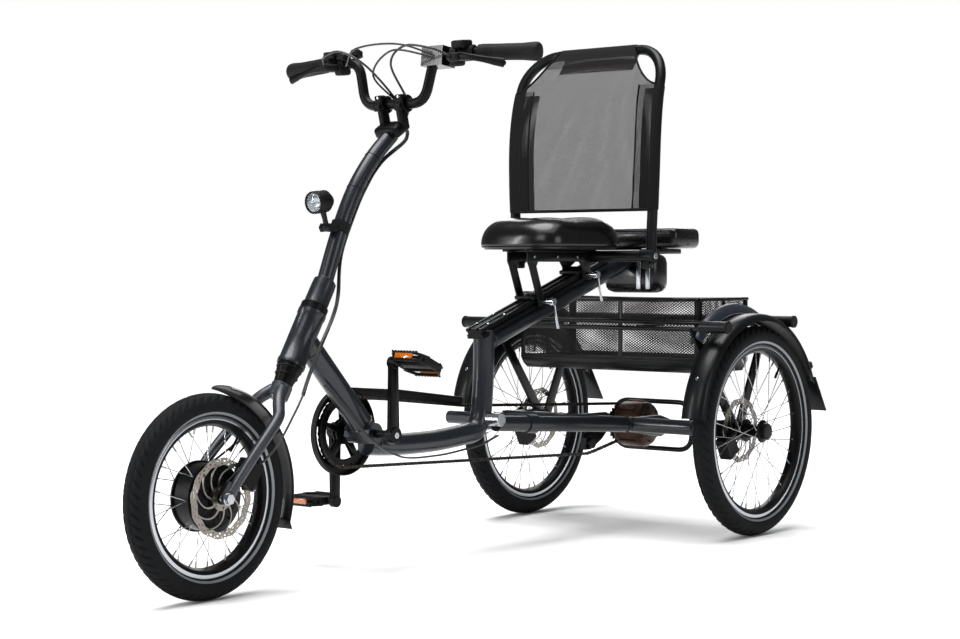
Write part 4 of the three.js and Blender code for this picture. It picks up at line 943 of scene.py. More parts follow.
class TRICYCLE_OT_drive(bpy.types.Operator):
    """Make the cranks, pedals, chainring, chain, guard and differential"""
    bl_idname = "tricycle.drive"
    bl_label = "Drive"

    def execute(self, context):
        self.chain()
        ring = Shape()
        outline = toothed(CRANK, 77.5, 71.5, RING_TEETH)
        inner = toothed(CRANK, 59, 59, RING_TEETH)
        ring.grid([[(p.x, y, p.z) for p,
                    y in ((far, -56.4), (far, -53.6), (near, -53.6), (near, -56.4))]
                   for far, near in zip(outline, inner)], close_rows=True, close_columns=True)
        ring.lathe([(10, -58.5), (26, -58.5), (27.5, -57), (27.5, -53), (10, -52)], CRANK, 64)
        for i in range(5):
            ring.plate(rib(CRANK, 72 * i + 18, 20, 64, 8, 5), -58, -54, 1)
            ring.bolt(on_circle(CRANK, 61, 72 * i + 18, -58), (0, -1, 0), 4, 2)
        ring.make("chainring_teeth", "crankset", ["black_anodised_aluminium"], ["chainring"],
                  "black_aluminium")
        for side, name in ((1, "left"), (-1, "right")):
            self.crank(side, name)
            self.pedal(side, name)

        guard = Shape()
        guard.lathe([(76, -67.5), (92, -67.5), (94.5, -65), (94.5, -52), (92.5, -52), (92, -64.5),
                     (76, -64.5),
                     (76, -67.5)], CRANK, 96)
        for i in range(5):
            guard.plate(rib(CRANK, 72 * i + 18, 24, 80, 6, 9), -67.5, -64.5, 0.8)
        guard.lathe([(19, -68), (27, -68), (27, -64), (19, -64), (19, -68)], CRANK, 48)
        guard.plate([(-462, 392), (-640, 378), (-852, 351), (-858, 344), (-852, 334), (-640, 352),
                     (-462, 366)], -71, -56, 3)
        guard.make("chain_guard_cover", "frame", ["grained_black_nylon"], ["chain_guard"],
                   "plastic_black")

        gears = Shape()
        gears.lathe([(0, -78), (14, -78), (14, -60), (22, -60), (22, -50), (22, -42), (44, -40),
                     (52, -36),
                     (56, -29), (57, 0), (56, 29), (52, 36), (44, 40), (27, 42), (26, 56), (15, 58),
                     (14, 78),
                     (0, 78)], REAR_AXLE, 72)
        teeth = toothed(REAR_AXLE, 47, 41.5, SPROCKET_TEETH)
        gears.plate([(p.x, p.z) for p in teeth], -56.5, -53.5, 0.3)
        for i in range(8):
            for side in (1, -1):
                gears.bolt(on_circle(REAR_AXLE, 43, 45 * i, side * 39), (0, side, 0), 3.4, 4)
            gears.block(on_circle(REAR_AXLE, 57, 45 * i, 0), (7, 46, 7), -math.radians(45 * i), 1.5)
        gears.make("differential_case", "differential", ["oiled_brown_steel"], ["differential"],
                   "drive_steel")
        return {"FINISHED"}

    def chain(self):
        """A roller chain: outer and inner links by turns along the loop."""
        loop = [on_circle(CRANK, 76.8, 95 - 183 * i / 40) for i in range(41)]
        loop += [Vector((-1340, 0, 184)), Vector((-1378, 0, 190))]
        loop += [on_circle(REAR_AXLE, 49, -75 - 200 * i / 30) for i in range(31)]
        loop += [Vector((-1266, 0, 311)), Vector((-852, 0, 331))]
        loop.append(loop[0])
        lengths = [0.0]
        for a, b in zip(loop, loop[1:]):
            lengths.append(lengths[-1] + (b - a).length)
        count = 2 * round(lengths[-1] / CHAIN_PITCH / 2)

        def at(distance):
            distance %= lengths[-1]
            i = next(k for k in range(1, len(lengths)) if lengths[k] >= distance)
            share = (distance - lengths[i - 1]) / max(1e-6, lengths[i] - lengths[i - 1])
            return loop[i - 1].lerp(loop[i], share)

        # A link's outline, as (along, across) from its first pin.
        half = ((-3.6, 0), (-2.5, 3.4), (2.2, 3.8), (6.35, 2.6), (10.5, 3.8), (15.2, 3.4),
                (16.3, 0))
        link = half + tuple((along, -lift) for along, lift in half[-2:0:-1])
        shape = Shape()
        pins = [at(lengths[-1] * i / count) for i in range(count)]
        for i, a in enumerate(pins):
            b = pins[(i + 1) % count]
            away = (b - a).normalized()
            up = Vector((-away.z, 0, away.x))
            gap = 3.1 if i % 2 else 2.1
            for y in (gap, -gap):
                outline = [a + away * along + up * lift for along, lift in link]
                top = [(p.x, CHAIN_Y + y + 0.45, p.z) for p in outline]
                base = [(p.x, CHAIN_Y + y - 0.45, p.z) for p in outline]
                shape.grid([top, base], close_columns=True)
                shape.add(top, [tuple(range(12))])
                shape.add(base, [tuple(range(12))])
            shape.tube([(a.x, CHAIN_Y - 4, a.z), (a.x, CHAIN_Y + 4, a.z)], 2.4, 8)
        shape.make("chain_links", "frame", ["oiled_dark_steel"], ["chain"], "chain_steel")

    def crank(self, side, name):
        x, z = CRANK
        tip = z + side * CRANK_LENGTH
        y = side * 84
        shape = Shape()
        shape.plate([(x - 16, z - side * 15), (x, z - side * 20), (x + 16, z - side * 15),
                     (x + 14, z + side * 30), (x + 11.5, tip - side * 20), (x + 12, tip + side * 9),
                     (x, tip + side * 14), (x - 12, tip + side * 9), (x - 11.5, tip - side * 20),
                     (x - 14, z + side * 30)], y - 6.5, y + 6.5, 3)
        shape.cross(CRANK, y - 10, y + 10, 17, 40)
        shape.cross((x, tip), y - 8, y + 8, 13, 40)
        if side > 0:
            shape.cross(CRANK, -73.5, 80, 9)
        shape.mark = 1
        shape.bolt((x, y + side * 9.5, z), (0, side, 0), 7, 1.5)
        shape.make(f"crank_{name}_arm", "crankset",
                   ["black_anodised_aluminium", "machined_aluminium"],
                   [f"crank_{name}"], "black_aluminium")

    def pedal(self, side, name):
        x, z = CRANK[0], CRANK[1] + side * CRANK_LENGTH
        y0, y1 = side * 102, side * 196
        shape = Shape()
        # Cage of two toothed rails, joined at both ends and in the middle.
        for edge in (1, -1):
            for lift in (1, -1):
                path = bent([(x + edge * 20, y0, z + lift * 7),
                             (x + edge * 44, y0 + side * 12, z + lift * 7),
                             (x + edge * 44, y1 - side * 16, z + lift * 7),
                             (x + edge * 18, y1, z + lift * 7)],
                            14, 6)
                shape.tube(path, 3.2, 12)
                for i in range(9):
                    tooth = y0 + side * (14 + 8 * i)
                    shape.block((x + edge * 44, tooth, z + lift * 9.5), (6, 3.5, 4), edge=0.8)
            shape.block((x + edge * 30, (y0 + y1) / 2, z), (8, 84, 12), edge=2)
        for y in (y0 + side * 3, y1 - side * 3):
            shape.block((x, y, z), (56, 7, 18), edge=2.5)
        shape.block((x, (y0 + y1) / 2, z), (26, 90, 15), edge=5)
        shape.cross((x, z), side * 92.4, y0, 7)
        shape.mark = 1
        for edge in (1, -1):
            shape.block((x + edge * 44.6, (y0 + y1) / 2, z), (4.6, 46, 12), edge=1)
        if side > 0:
            # The left pedal rests tipped, with its front edge up.
            middle = Matrix.Translation((x, 0, z))
            tip = middle @ Matrix.Rotation(math.radians(-24), 4, "Y") @ middle.inverted()
            shape.points = [tuple(tip @ Vector(p)) for p in shape.points]
        shape.make(f"pedal_{name}_cage", f"pedal_{name}",
                   ["grained_black_nylon", "amber_reflector"],
                   [f"pedal_{name}"], "plastic_black")


class TRICYCLE_OT_steering(bpy.types.Operator):
    """Make the fork, steering column, handlebar, grips, levers and lamp"""
    bl_idname = "tricycle.steering"
    bl_label = "Steering"

    def execute(self, context):
        self.fork()
        self.column()
        self.handlebar()
        self.controls()
        self.cables()
        self.lamp()
        return {"FINISHED"}

    def fork(self):
        shape = Shape()
        for side in (1, -1):
            y = side * 60
            path = bent([(-198, side * 12, 402), (-171, side * 29, 385), (-148, side * 54, 350),
                         (-74, y, 283),
                         (-8, y, 212)], 28)
            radii = [13.2 - 2.8 * i / (len(path) - 1) for i in range(len(path))]
            shape.tube(path, radii, 36)
            shape.plate([(-22, 232), (-6, 236), (13, 210), (13, 193), (-11, 191), (-24, 210)],
                        y - 4, y + 4, 1.2)
        shape.tube([on_head(z) for z in (384, 386, 409, 411)], [20, 22, 22, 20], 40)
        shape.tube([on_head(385), on_head(586)], 14, 32)
        shape.mark = 1
        for side in (1, -1):
            shape.cross(FRONT_AXLE, side * 48, side * 68, 5.5)
            shape.tube([(0, side * 64, FRONT_RADIUS), (0, side * 71, FRONT_RADIUS)], 10.5, 6)
            shape.cross(FRONT_AXLE, side * 63, side * 65, 13)
        shape.make("fork_blades", "steering", ["satin_metallic_paint", "machined_aluminium"],
                   ["fork"],
                   "fork_paint")
        cone = Shape()
        cone.tube([on_head(z) for z in (411, 420, 436, 447, 449)], [20, 21, 25, 28, 27], 48)
        for z in (428, 441):
            cone.ring(on_head(z), on_head(500) - on_head(400), 24 + (z - 428) * 0.18, 1.3, 48)
        cone.make("headset_cone", "frame", ["black_anodised_aluminium"], ["headset_lower"],
                  "black_aluminium")

    def column_path(self):
        return curved([on_head(612), (-382, 0, 727), (-428, 0, 812), (-484, 0, 880),
                       (-545, 0, 934)], 8)

    def column(self):
        shape = Shape()
        path = self.column_path()
        shape.tube([on_head(z) for z in (556, 560, 606, 618, 622)], [27, 25.5, 25, 24, 18], 48,
                   caps=False)
        shape.tube(path, 17.2, 48)
        shape.ring(on_head(621), on_head(630) - on_head(610), 18.6, 1.6, 48)
        shape.mark = 1
        shape.tube([on_head(z) for z in (553.5, 555, 568, 570)], [27.5, 29, 29, 27], 48)
        shape.bolt((-332, 0, 566), (-1, 0, 0.2), 5, 9)
        # Clips that hold the cables on the back of the column.
        for i in (8, 16, 24):
            ahead = (path[i + 1] - path[i - 1]).normalized()
            shape.ring(path[i], ahead, 17.4, 0.7, 40)
        shape.make("steering_column_tube", "steering",
                   ["metallic_powder_coat", "black_anodised_aluminium"],
                   ["steering_column"], "frame_paint")

        stem = Shape()
        x, z = BAR_CENTRE
        for y in (29, -29):
            stem.cross(BAR_CENTRE, y - 10, y + 10, 19, 36)
            stem.block((x + 14, y, z + 6), (16, 20, 26), 0.2, 3)
            stem.block((x + 4, y * 0.9, z - 32), (24, 15, 50), 0.25, 4)
            stem.block((x + 22, y, z - 8), (10, 18, 16), 0.2, 2)
        stem.block((-543, 0, 944), (43, 67, 26), 0.55, 9)
        stem.mark = 1
        for y in (29, -29):
            for dz in (17, -9):
                stem.bolt((x + 21, y, z + dz - 4), (1, 0, 0.1), 3.2, 3)
        stem.make("stem_clamp_body", "steering", ["black_anodised_aluminium", "stainless_wire"],
                  ["stem_clamp"], "black_aluminium")

    def bar_path(self, side):
        x, z = BAR_CENTRE
        bends = [(bend[0], side * bend[1], bend[2]) for bend in BAR_BENDS]
        return bent([(x, 0, z), (x, side * 84, z - 2), *bends], 34, 12)

    def on_bar(self, side, y):
        """The point of the bar's outer half that is y mm from the middle."""
        inner = y < BAR_BENDS[1][1]
        (x0, y0, z0), (x1, y1, z1) = BAR_BENDS[:2] if inner else BAR_BENDS[1:]
        t = (y - y0) / (y1 - y0)
        return Vector((x0 + (x1 - x0) * t, side * y, z0 + (z1 - z0) * t))

    def handlebar(self):
        shape = Shape()
        for side in (1, -1):
            shape.tube(self.bar_path(side), 11.1, 32)
        shape.make("handlebar_tube", "steering", ["black_anodised_aluminium"], ["handlebar"],
                   "black_aluminium")

    def controls(self):
        for name, side in (("left", 1), ("right", -1)):
            grip = Shape()
            ys = [216, 218, 224, 240, 260, 280, 300, 320, 336, 346, 352, 355, 356]
            radii = [14, 16.5, 17, 16.2, 17, 17.6, 17.6, 18, 19.4, 20, 19.6, 17.5, 13]
            grip.tube([self.on_bar(side, y) for y in ys], radii, 40)
            # Palm wing at the back of the grip.
            wing = [self.on_bar(side, y) + Vector((-9, 0, -3)) for y in (262, 280, 305, 330, 346)]
            grip.tube(wing, [8, 14, 18, 18, 11], 32, 0.5)
            for y in range(228, 342, 6):
                start = self.on_bar(side, y)
                grip.ring(start, (0, 1, 0), 16.7, 0.7, 32)
            grip.make(f"grip_{name}_rubber", "steering", ["grip_rubber"], [f"grip_{name}"],
                      "grip_rubber")

            pod = Shape()
            pod.tube([self.on_bar(side, y) for y in (173, 175, 206, 208)], [15, 17, 17, 15], 32)
            pod.block((-546, side * 186, 1090), (42, 26, 18), 0.2, 5)
            pod.tube([(-560, side * 168, 1088), (-530, side * 176, 1088), (-522, side * 178, 1090)],
                     [9, 8.5, 6], 24)
            pod.block((-568, side * 164, 1084), (34, 24, 24), 0.1, 6)
            pod.block((-560, side * 184, 1116), (38, 32, 18), 0.1, 5)
            pod.tube([self.on_bar(side, y) for y in (150, 152, 166, 168)], [13.5, 15.5, 15.5, 13.5],
                     32)
            if side < 0:
                # Bell dome with its striker.
                pod.tube([(-572, -128, 1106), (-573, -128, 1112), (-575, -128, 1124),
                          (-576, -128, 1128)],
                         [5, 15, 13, 6], 32)
                pod.block((-556, -150, 1108), (26, 24, 14), -0.2, 4)
            pod.make(f"control_pod_{name}_body", "steering", ["grained_black_nylon"],
                     [f"control_pod_{name}"], "plastic_black")

            lever = Shape()
            path = bent([(-538, side * 194.5, 1089), (-534, side * 222, 1086),
                         (-541, side * 262, 1078),
                         (-550, side * 304, 1069)], 18)
            radii = [6.5 - 2 * math.sin(math.pi * i / (len(path) - 1)) ** 0.5
                     for i in range(len(path))]
            lever.tube(path, radii, 20, 1.5)
            lever.tube([path[-1] + Vector((0, side * d, 0)) for d in (-3, 2, 4.5)], [5.4, 5.4, 3],
                       20)
            lever.make(f"brake_lever_{name}_blade", f"brake_lever_{name}",
                       ["black_anodised_aluminium"],
                       [f"brake_lever_{name}"], "black_aluminium")

    def cables(self):
        shape = Shape()
        gather = Vector((-586, 0, 958))
        for side in (1, -1):
            shape.tube(curved([(-524, side * 178, 1091), (-494, side * 150, 1106),
                               (-482, side * 90, 1112),
                               (-505, side * 34, 1078), (-584, side * 14, 1004), gather]), 2.5, 12)
        shape.tube(curved([(-548, 136, 1090), (-500, 60, 1120), (-498, -60, 1118),
                           (-548, -136, 1090)]), 2.2, 12)
        shape.tube(curved([(-560, 140, 1080), (-520, 104, 1098), (-496, 40, 1106),
                           (-520, -30, 1060),
                           (-586, -12, 1000), gather]), 2.2, 12)
        path = self.column_path()
        behind = []
        for i in (26, 19, 13, 5):
            ahead = (path[i + 1] - path[i - 1]).normalized()
            behind.append(path[i] + Vector((-ahead.z, 0, ahead.x)) * 25)
        spine = curved([gather, (-594, 0, 928), *behind, (-364, 12, 592), (-318, 38, 542),
                        (-270, 52, 490), (-236, 56, 438), (-204, 66, 394)], 6)
        for turn in (0, 120, 240):
            path = []
            for i, point in enumerate(spine):
                angle = math.radians(turn + 9 * i)
                path.append(point + Vector((0, 2.6 * math.cos(angle), 2.6 * math.sin(angle))))
            shape.tube(path, 2.4, 10)
        shape.tube(curved([(-204, 66, 394), (-172, 74, 360), (-120, 78, 300), (-88, 64, 264)]), 2.4,
                   12)
        shape.make("control_cable_runs", "steering", ["cable_sheath_pvc"], ["control_cables"],
                   "cable_sheath")
        under = Shape()
        run = bent([(-322, 14, 404), (-446, 46, 268), (-560, 32, 235), (-700, 27, 235),
                    (-824, 26, 248),
                    (-900, 10, 262)], 60)
        for shift in (-1.9, 1.9):
            under.tube([p + Vector((0, shift, 0)) for p in run], 2.0, 12)
        under.make("frame_cable_runs", "frame", ["cable_sheath_pvc"], ["frame_cables"],
                   "cable_sheath")

    def lamp(self):
        turn = Matrix.Translation((-322, 0, 784)) @ Matrix.Rotation(0.12, 4,
                                                                    "Y") @ Matrix.Scale(0.9, 4)

        def along(profile, shape):
            """A profile of (radius, distance ahead) turned about the lamp's axis."""
            turns = [2 * math.pi * k / 48 for k in range(48)]
            rows = [[turn @ Vector((d, r * math.cos(angle), r * math.sin(angle)))
                     for angle in turns]
                    for r, d in profile]
            shape.grid(rows, close_columns=True)

        shape = Shape()
        along([(0.5, -34), (9, -33.5), (16, -31), (22, -22), (24.5, -12), (25, 0), (25, 4),
               (26.4, 5),
               (26.4, 21), (25.6, 23), (23.4, 23), (23, 14)], shape)
        pivot = (-343, 731)
        stalk = [(-330, 0, 768), (-337, 0, 750), (pivot[0], 0, pivot[1])]
        shape.tube(stalk, [9, 7, 7.5], 24, 0.45)
        shape.cross(pivot, -7, 7, 8.5)
        for d in (-18, -10, -2):
            along([(24.2, d), (25.8, d + 1), (25.8, d + 3), (24.2, d + 4)], shape)
        shape.mark = 1
        along([(23, 14), (20, 8), (14, 1), (7, -4), (0.5, -6)], shape)
        shape.make("headlight_housing", "headlight", ["grained_black_nylon", "chromed_bowl"],
                   ["headlight"],
                   "plastic_black")
        lens = Shape()
        along([(22.9, 16), (22.9, 20), (20, 22.5), (12, 25), (0.5, 26), (0.5, 24.5), (12, 23.5),
               (20, 21),
               (22, 19.5), (22, 16), (22.9, 16)], lens)
        lens.make("headlight_lens_cover", "headlight", ["clear_polycarbonate"], ["headlight_lens"],
                  "lamp_glass")


class TRICYCLE_OT_seat(bpy.types.Operator):
    """Make the saddle, its bracket and levers, the backrest tube and its mesh"""
    bl_idname = "tricycle.seat"
    bl_label = "Seat"

    def execute(self, context):
        self.saddle(context.scene.tricycle_sizes.saddle_groove / MM)
        self.bracket()
        self.backrest()
        return {"FINISHED"}

    def saddle_edge(self):
        """The saddle's outline seen from above, as (x, y) points right round from its nose."""
        curves = (((152, 0), (152, 72), (142, 118), (84, 122)),
                  ((84, 122), (30, 126), (-20, 138), (-70, 140)),
                  ((-70, 140), (-112, 142), (-134, 108), (-134, 0)))
        steps = 16
        side = []
        for a, b, c, d in curves:
            for i in range(steps):
                t = i / steps
                side.append(tuple(a[k] * (1 - t) ** 3 + 3 * b[k] * t * (1 - t) ** 2
                                  + 3 * c[k] * t * t * (1 - t) + d[k] * t ** 3 for k in (0, 1)))
        return side + [curves[-1][-1]] + [(x, -y) for x, y in side[:0:-1]]

    def saddle(self, groove):
        shape = Shape()
        rings = 22
        edge = self.saddle_edge()
        height = SADDLE_HIGH - SADDLE_LOW

        def top(x, y, share):
            """Height of the cover: a rounded edge, two low rear lobes and a shallow groove."""
            rear = 1 / (1 + math.exp((x + 20) / 24))
            crown = (1 - share ** 5) ** 0.5
            dip = groove * math.exp(-(y / 20) ** 2) * (0.35 + 0.65 * rear)
            waist = 3 * math.exp(-((x - 16) / 38) ** 2)
            lobes = 3 * rear * math.exp(-((abs(y) - 74) / 40) ** 2)
            return SADDLE_LOW + 12 + (height - 13 + lobes - waist - dip) * crown

        def level(scale, z):
            return [(SADDLE_X + x * scale, y * scale, z) for x, y in edge]

        rows = []
        for k in range(rings + 1):
            share = math.sin(math.pi / 2 * k / rings)
            rows.append([(SADDLE_X + x * share, y * share, top(x * share, y * share, share)) for x,
                         y in edge])
        # Side wall pulls in to the base, round a piped seam.
        for drop, shrink in ((9, 0.998), (6.5, 0.985), (4.5, 0.972), (3, 0.968), (1.5, 0.955)):
            rows.append(level(shrink, SADDLE_LOW + drop))
        shape.grid(rows, close_columns=True)
        shape.mark = 1
        shape.grid([level(0.955, SADDLE_LOW + 1.5), level(0.95, SADDLE_LOW), level(0.5, SADDLE_LOW),
                    level(0.001, SADDLE_LOW)], close_columns=True)
        saddle = shape.make("saddle_pad", "seat", ["stretched_black_vinyl", "grained_black_nylon"],
                            ["saddle"], "saddle_vinyl", 70, weld=True)
        piping = Shape()
        loop = level(0.985, SADDLE_LOW + 6)
        piping.tube(loop + loop[:1], 1.5, 10, caps=False)
        piping.make("saddle_piping", "seat", ["binding_tape"], slot="saddle_vinyl")

    def bracket(self):
        shape = Shape()
        cheek = [(-985, 684), (-1250, 684), (-1250, 660), (-1232, 650), (-1238, 618), (-1204, 618),
                 (-1200, 648), (-1188, 662), (-1026, 662), (-1019, 650), (-1056, 556), (-1030, 556),
                 (-992, 650), (-985, 662)]
        for side in (1, -1):
            shape.plate(cheek, side * 29 - 2, side * 29 + 2, 0.9)
        shape.block((-1115, 0, 686), (230, 92, 4), edge=1.2)
        for y in (37, -37):
            shape.block((-1112, y, 687), (250, 18, 5), edge=1.2)
        shape.cross(BACK_PIVOT, -176, 176, 14, 36)
        for x, _ in LEVER_AXES.values():
            foot = beam(x, 50)
            shape.block((foot.x, 0, foot.z), (40, 54, 9), BEAM_ANGLE, 2)
        shape.mark = 1
        for x, z in LEVER_AXES.values():
            shape.cross((x, z), 31, 54, 6)
            shape.bolt((x, -30, z), (0, -1, 0), 7, 5)
        for x in (-1010, -1100, -1180):
            shape.bolt((x, 31, 673), (0, 1, 0), 3.6, 2.4)
        shape.make("seat_bracket_plates", "seat", ["black_powder_coat", "machined_aluminium"],
                   ["seat_bracket"], "black_paint")
        for name, (x, z) in LEVER_AXES.items():
            lever = Shape()
            lever.cross((x, z), 54.4, 66, 9, 32)
            lever.tube([(x - 4, 61, z - 6), (x - 9, 61, z - 26), (x - 15, 61, z - 48),
                        (x - 20, 61, z - 63)],
                       [3.4, 3.2, 3.4, 4.0], 20, 0.5)
            lever.make(f"seat_lever_{name}_handle", f"seat_lever_{name}", ["machined_aluminium"],
                       [f"seat_lever_{name}"], "bright_aluminium")

    def back_share(self, z):
        """How far a height is up the leaning part of the back, from 0 to 1."""
        return max(0.0, (z - BACK_FOOT[1]) / (BACK_TOP - BACK_FOOT[1]))

    def back_x(self, z):
        return BACK_FOOT[0] - BACK_LEAN * self.back_share(z) ** BACK_CURVE

    def back_half(self, z):
        """Half the distance between the uprights, which bow outwards a little."""
        return BACK_HALF - 2 + 7 * math.sin(math.pi * self.back_share(z))

    def around_back(self, z, y, reach, degrees=0):
        """A point reach mm from the middle of the leaning tube; 0 degrees faces forwards."""
        steep = BACK_LEAN * BACK_CURVE * self.back_share(z) ** (BACK_CURVE - 1)
        lean = math.atan(steep / (BACK_TOP - BACK_FOOT[1]))
        angle = lean + math.radians(degrees)
        return Vector((self.back_x(z) + reach * math.cos(angle), y, z + reach * math.sin(angle)))

    def backrest(self):
        tube = Shape()
        bend = 84
        spring = BACK_TOP - bend
        half = [(BACK_PIVOT[0], self.back_half(z), z) for z in (BACK_PIVOT[1], 710)]
        foot = BACK_FOOT[1]
        half += [(self.back_x(z), self.back_half(z), z)
                 for z in (foot + (spring - foot) * i / 14 for i in range(15))]
        for i in range(1, 13):
            angle = math.radians(7.5 * i)
            z = spring + bend * math.sin(angle)
            half.append((self.back_x(z), self.back_half(z) - bend * (1 - math.cos(angle)), z))
        tube.tube([(x, -y, z) for x, y, z in half] + half[::-1], BACK_TUBE, 32)
        for side in (1, -1):
            tube.cross(BACK_PIVOT, side * 177, side * 213, 18, 40)
            tube.block((BACK_PIVOT[0] + 2, side * 192, BACK_PIVOT[1] - 18), (26, 22, 24), edge=4)
        tube.mark = 1
        for side in (1, -1):
            tube.bolt((BACK_PIVOT[0], side * 212.5, BACK_PIVOT[1]), (0, side, 0), 8, 4)
        tube.make("backrest_tube", "backrest", ["black_powder_coat", "machined_aluminium"],
                  ["backrest_frame"], "black_paint")
        self.back_mesh()

    def back_mesh(self):
        """One cloth: it wraps both uprights and the middle of the top tube, and sags between them."""
        low, shoulder, high = 784, 1078, BACK_TOP
        # Cloth to the tube's middle, depth of the folds behind, and depth of the doubled top.
        wrap, tuck, hood = BACK_TUBE + 1.6, 50, 50
        shape = Shape()

        def half_at(z):
            """Half the cloth's width, with a bite cut out of each upper corner."""
            opening = 92 * (max(0.0, z - shoulder) / (high - shoulder)) ** 0.55
            return self.back_half(z) - opening

        def front(u, z):
            sag = 9 * (1 - u * u) * math.sin(math.pi * (0.12 + 0.88 * (z - low) / (high - low)))
            return self.around_back(z, u * half_at(z), wrap - sag)

        steps = [k / 20 for k in range(-20, 21)]
        levels = [low + (shoulder - low) * i / 24 for i in range(25)]
        upper = [shoulder + (high - shoulder) * (i / 12) ** 1.5 for i in range(1, 13)]
        rows = [[front(u, z) for u in steps] for z in levels + upper]
        end = half_at(high)
        over = [[self.around_back(high, u * end, wrap, degrees) for u in steps]
                for degrees in (30, 60, 90, 120, 150, 180)]
        down = self.around_back(high, 0, tuck, -90) - self.around_back(high, 0, 0)
        over.append([p + down for p in over[-1]])
        shape.grid(rows)
        # The wrap over the top tube and the sleeves round the uprights take the doubled weave, whose
        # darker threads are painted shade.
        shape.mark = 1
        shape.grid([rows[-1]] + over)
        for side in (1, -1):
            sleeve = []
            for z in levels:
                row = []
                for degrees in (0, 30, 60, 90, 120, 150, 180):
                    out = wrap * math.sin(math.radians(degrees))
                    row.append(self.around_back(z, side * (self.back_half(z) + out),
                                                wrap * math.cos(math.radians(degrees))))
                row.append(self.around_back(z, side * (self.back_half(z) - tuck), -wrap))
                sleeve.append(row)
            shape.grid(sleeve)
        width = len(steps) - 1
        # Faces near the uprights and at the top also take the doubled weave: a denser cover, and
        # darker threads as painted shade.
        for i, z in enumerate((levels + upper)[:-1]):
            for k in range(width):
                across = abs(steps[k] + steps[k + 1]) / 2 * half_at(z)
                if (across > self.back_half(z) - tuck and z < shoulder) or z > high - hood:
                    shape.marks[i * width + k] = 1
        cloth = shape.make("backrest_cloth", "backrest",
                           ["open_polyester_weave", "doubled_weave_with_painted_shade"],
                           ["backrest_panel"], "mesh_fabric", 60, weld=True)
        hem = Shape()
        hem.tube([front(u, low) for u in steps], 3.4, 12)
        for side in (1, -1):
            hem.tube([front(side, z) for z in [shoulder] + upper], 2.6, 12)
            hem.tube([front(side * (1 - tuck / half_at(z)), z) for z in levels], 2.0, 10)
        binding = hem.make("backrest_binding", "backrest", ["binding_tape"], slot="mesh_fabric")


class TRICYCLE_OT_battery(bpy.types.Operator):
    """Make the battery, its tray and the controller case"""
    bl_idname = "tricycle.battery"
    bl_label = "Battery"

    def execute(self, context):
        shape = Shape()
        centre = (-1442.5, 719)
        shape.block((centre[0], 0, centre[1]), (115, 350, 50), edge=15)
        for side in (1, -1):
            shape.lathe([(0.5, side * 174), (16, side * 174), (18, side * 170), (18, side * 150)],
                        centre, 40)
        shape.mark = 1
        shape.block((-1386, 0, 730), (2.4, 316, 9), 0.3, 0.8)
        shape.make("battery_case", "battery", ["polished_black_housing", "grey_moulded_trim"],
                   ["battery"],
                   "gloss_black")
        dock = Shape()
        dock.block((-1471, 0, 633), (74, 160, 98), edge=24)
        dock.block((-1444, 0, 687), (104, 240, 13), edge=3)
        dock.mark = 1
        for y in (34, 62):
            dock.block((-1432.6, y, 640), (3, 13, 94), edge=1)
        dock.make("battery_dock_case", "frame", ["polished_black_housing", "machined_aluminium"],
                  ["battery_dock"], "plastic_black")
        return {"FINISHED"}


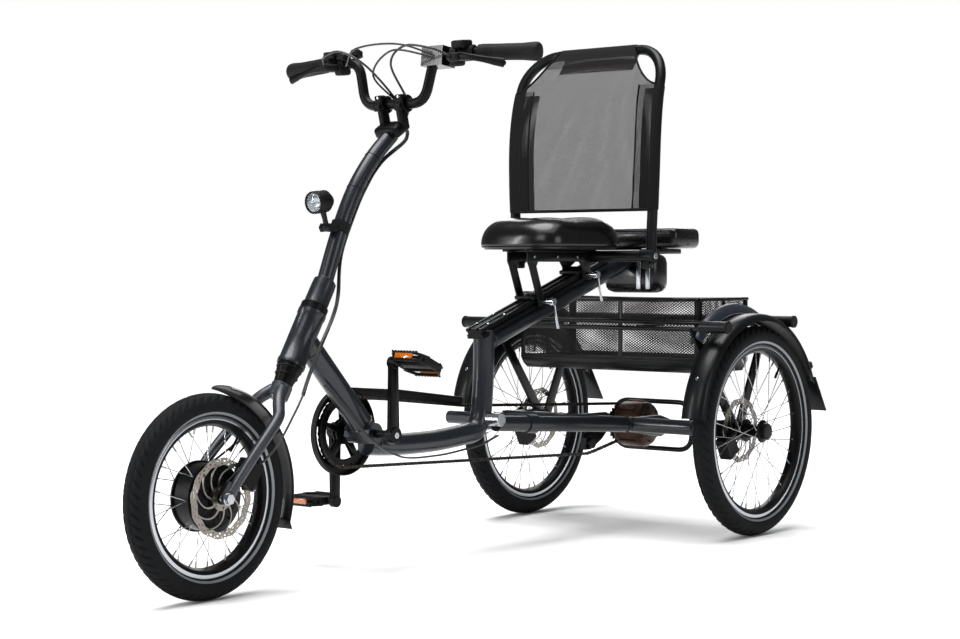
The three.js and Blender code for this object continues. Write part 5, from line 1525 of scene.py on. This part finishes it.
class TRICYCLE_OT_stage(bpy.types.Operator):
    """Set the pale floor, the soft lights and the camera"""
    bl_idname = "tricycle.stage"
    bl_label = "Stage"

    def execute(self, context):
        scene = context.scene
        scene.view_settings.view_transform = "Standard"
        mesh = bpy.data.meshes.new("floor")
        far = 14
        mesh.from_pydata([(far * math.cos(math.radians(a)), far * math.sin(math.radians(a)), 0)
                          for a in range(0, 360, 6)], [], [tuple(range(60))])
        floor = bpy.data.objects.new("floor", mesh)
        scene.collection.objects.link(floor)
        finish("matt_white_vinyl", linear("fafafa"), linear("f7f7f7"), 0.9, 4, 0.02)
        mesh.materials.append(FINISHES["matt_white_vinyl"])

        world = bpy.data.worlds.new("studio")
        world.use_nodes = True
        scene.world = world
        tree = world.node_tree
        seen = tree.nodes["Background"]
        seen.inputs["Color"].default_value = (0.55, 0.56, 0.58, 1)
        seen.inputs["Strength"].default_value = 0.3
        white = add_node(tree, "ShaderNodeBackground", {"Color": (1, 1, 1, 1), "Strength": 1.0})
        ray = add_node(tree, "ShaderNodeLightPath")
        mixed = add_node(tree, "ShaderNodeMixShader", {
            0: ray.outputs["Is Camera Ray"], 1: seen.outputs[0], 2: white.outputs[0]})
        tree.links.new(mixed.outputs[0], tree.nodes["World Output"].inputs["Surface"])

        for name, place, size, watts in (
                ("overhead", (0.3, 0.2, 4.2), 4.0, 110), ("key", (3.2, 0.4, 2.6), 1.6, 30),
                ("side", (0.2, 4.2, 1.8), 1.8, 32), ("back", (-4.0, -2.4, 2.8), 2.2, 60)):
            self.light(scene, name, "AREA", watts, place, shape="SQUARE", size=size)
        # A tall narrow light draws a streak down the tubes.
        self.light(scene, "strip", "AREA", 55, (3.2, -2.35, 1.5), shape="RECTANGLE", size=0.22,
                   size_y=2.4)
        # A broad soft sky keeps the floor evenly bright out to its edge.
        self.light(scene, "sky", "SUN", 3.1, (0, 0, 0), (0.12, 0.1, 0), angle=math.radians(42))

        # A long lens, low and ahead of the left side.
        view = bpy.data.cameras.new("camera")
        view.sensor_width = 36
        view.lens = 74.08
        view.clip_end = 100
        camera = bpy.data.objects.new("camera", view)
        camera.location = (3.42736, 2.83131, 0.65536)
        ahead = Vector((-0.77622, -0.62984, -0.02800))
        camera.rotation_euler = ahead.to_track_quat("-Z", "Y").to_euler()
        scene.collection.objects.link(camera)
        scene.camera = camera
        return {"FINISHED"}

    def light(self, scene, name, kind, energy, place, turn=None, **settings):
        """One light; without a turn it faces the middle of the tricycle."""
        lamp = bpy.data.lights.new(name, kind)
        lamp.energy = energy
        for key, value in settings.items():
            setattr(lamp, key, value)
        holder = bpy.data.objects.new(name, lamp)
        holder.location = place
        ahead = Vector((0, 0, 0.5)) - Vector(place)
        holder.rotation_euler = turn or ahead.to_track_quat("-Z", "Y").to_euler()
        scene.collection.objects.link(holder)


class TRICYCLE_PT_panel(bpy.types.Panel):
    """Lists the pieces and what may be changed"""
    bl_idname = "TRICYCLE_PT_panel"
    bl_label = "Adult tricycle"
    bl_space_type = "VIEW_3D"
    bl_region_type = "UI"
    bl_category = "Tricycle"

    def draw(self, context):
        for group in (context.scene.tricycle_colours, context.scene.tricycle_sizes):
            for name in group.__annotations__:
                self.layout.prop(group, name)
        for operator in OPERATORS:
            self.layout.operator(operator.bl_idname)


OPERATORS = (
    TRICYCLE_OT_finishes,
    TRICYCLE_OT_stage,
    TRICYCLE_OT_wheels,
    TRICYCLE_OT_frame,
    TRICYCLE_OT_carrier,
    TRICYCLE_OT_basket,
    TRICYCLE_OT_drive,
    TRICYCLE_OT_steering,
    TRICYCLE_OT_seat,
    TRICYCLE_OT_battery,
)
CLASSES = (TricycleColours, TricycleSizes, *OPERATORS, TRICYCLE_PT_panel)


def register():
    for each in CLASSES:
        bpy.utils.register_class(each)
    bpy.types.Scene.tricycle_colours = PointerProperty(type=TricycleColours)
    bpy.types.Scene.tricycle_sizes = PointerProperty(type=TricycleSizes)


def unregister():
    del bpy.types.Scene.tricycle_sizes
    del bpy.types.Scene.tricycle_colours
    for each in reversed(CLASSES):
        bpy.utils.unregister_class(each)


def main():
    register()
    for operator in OPERATORS:
        group, name = operator.bl_idname.split(".")
        getattr(getattr(bpy.ops, group), name)()


if __name__ == "__main__":
    main()
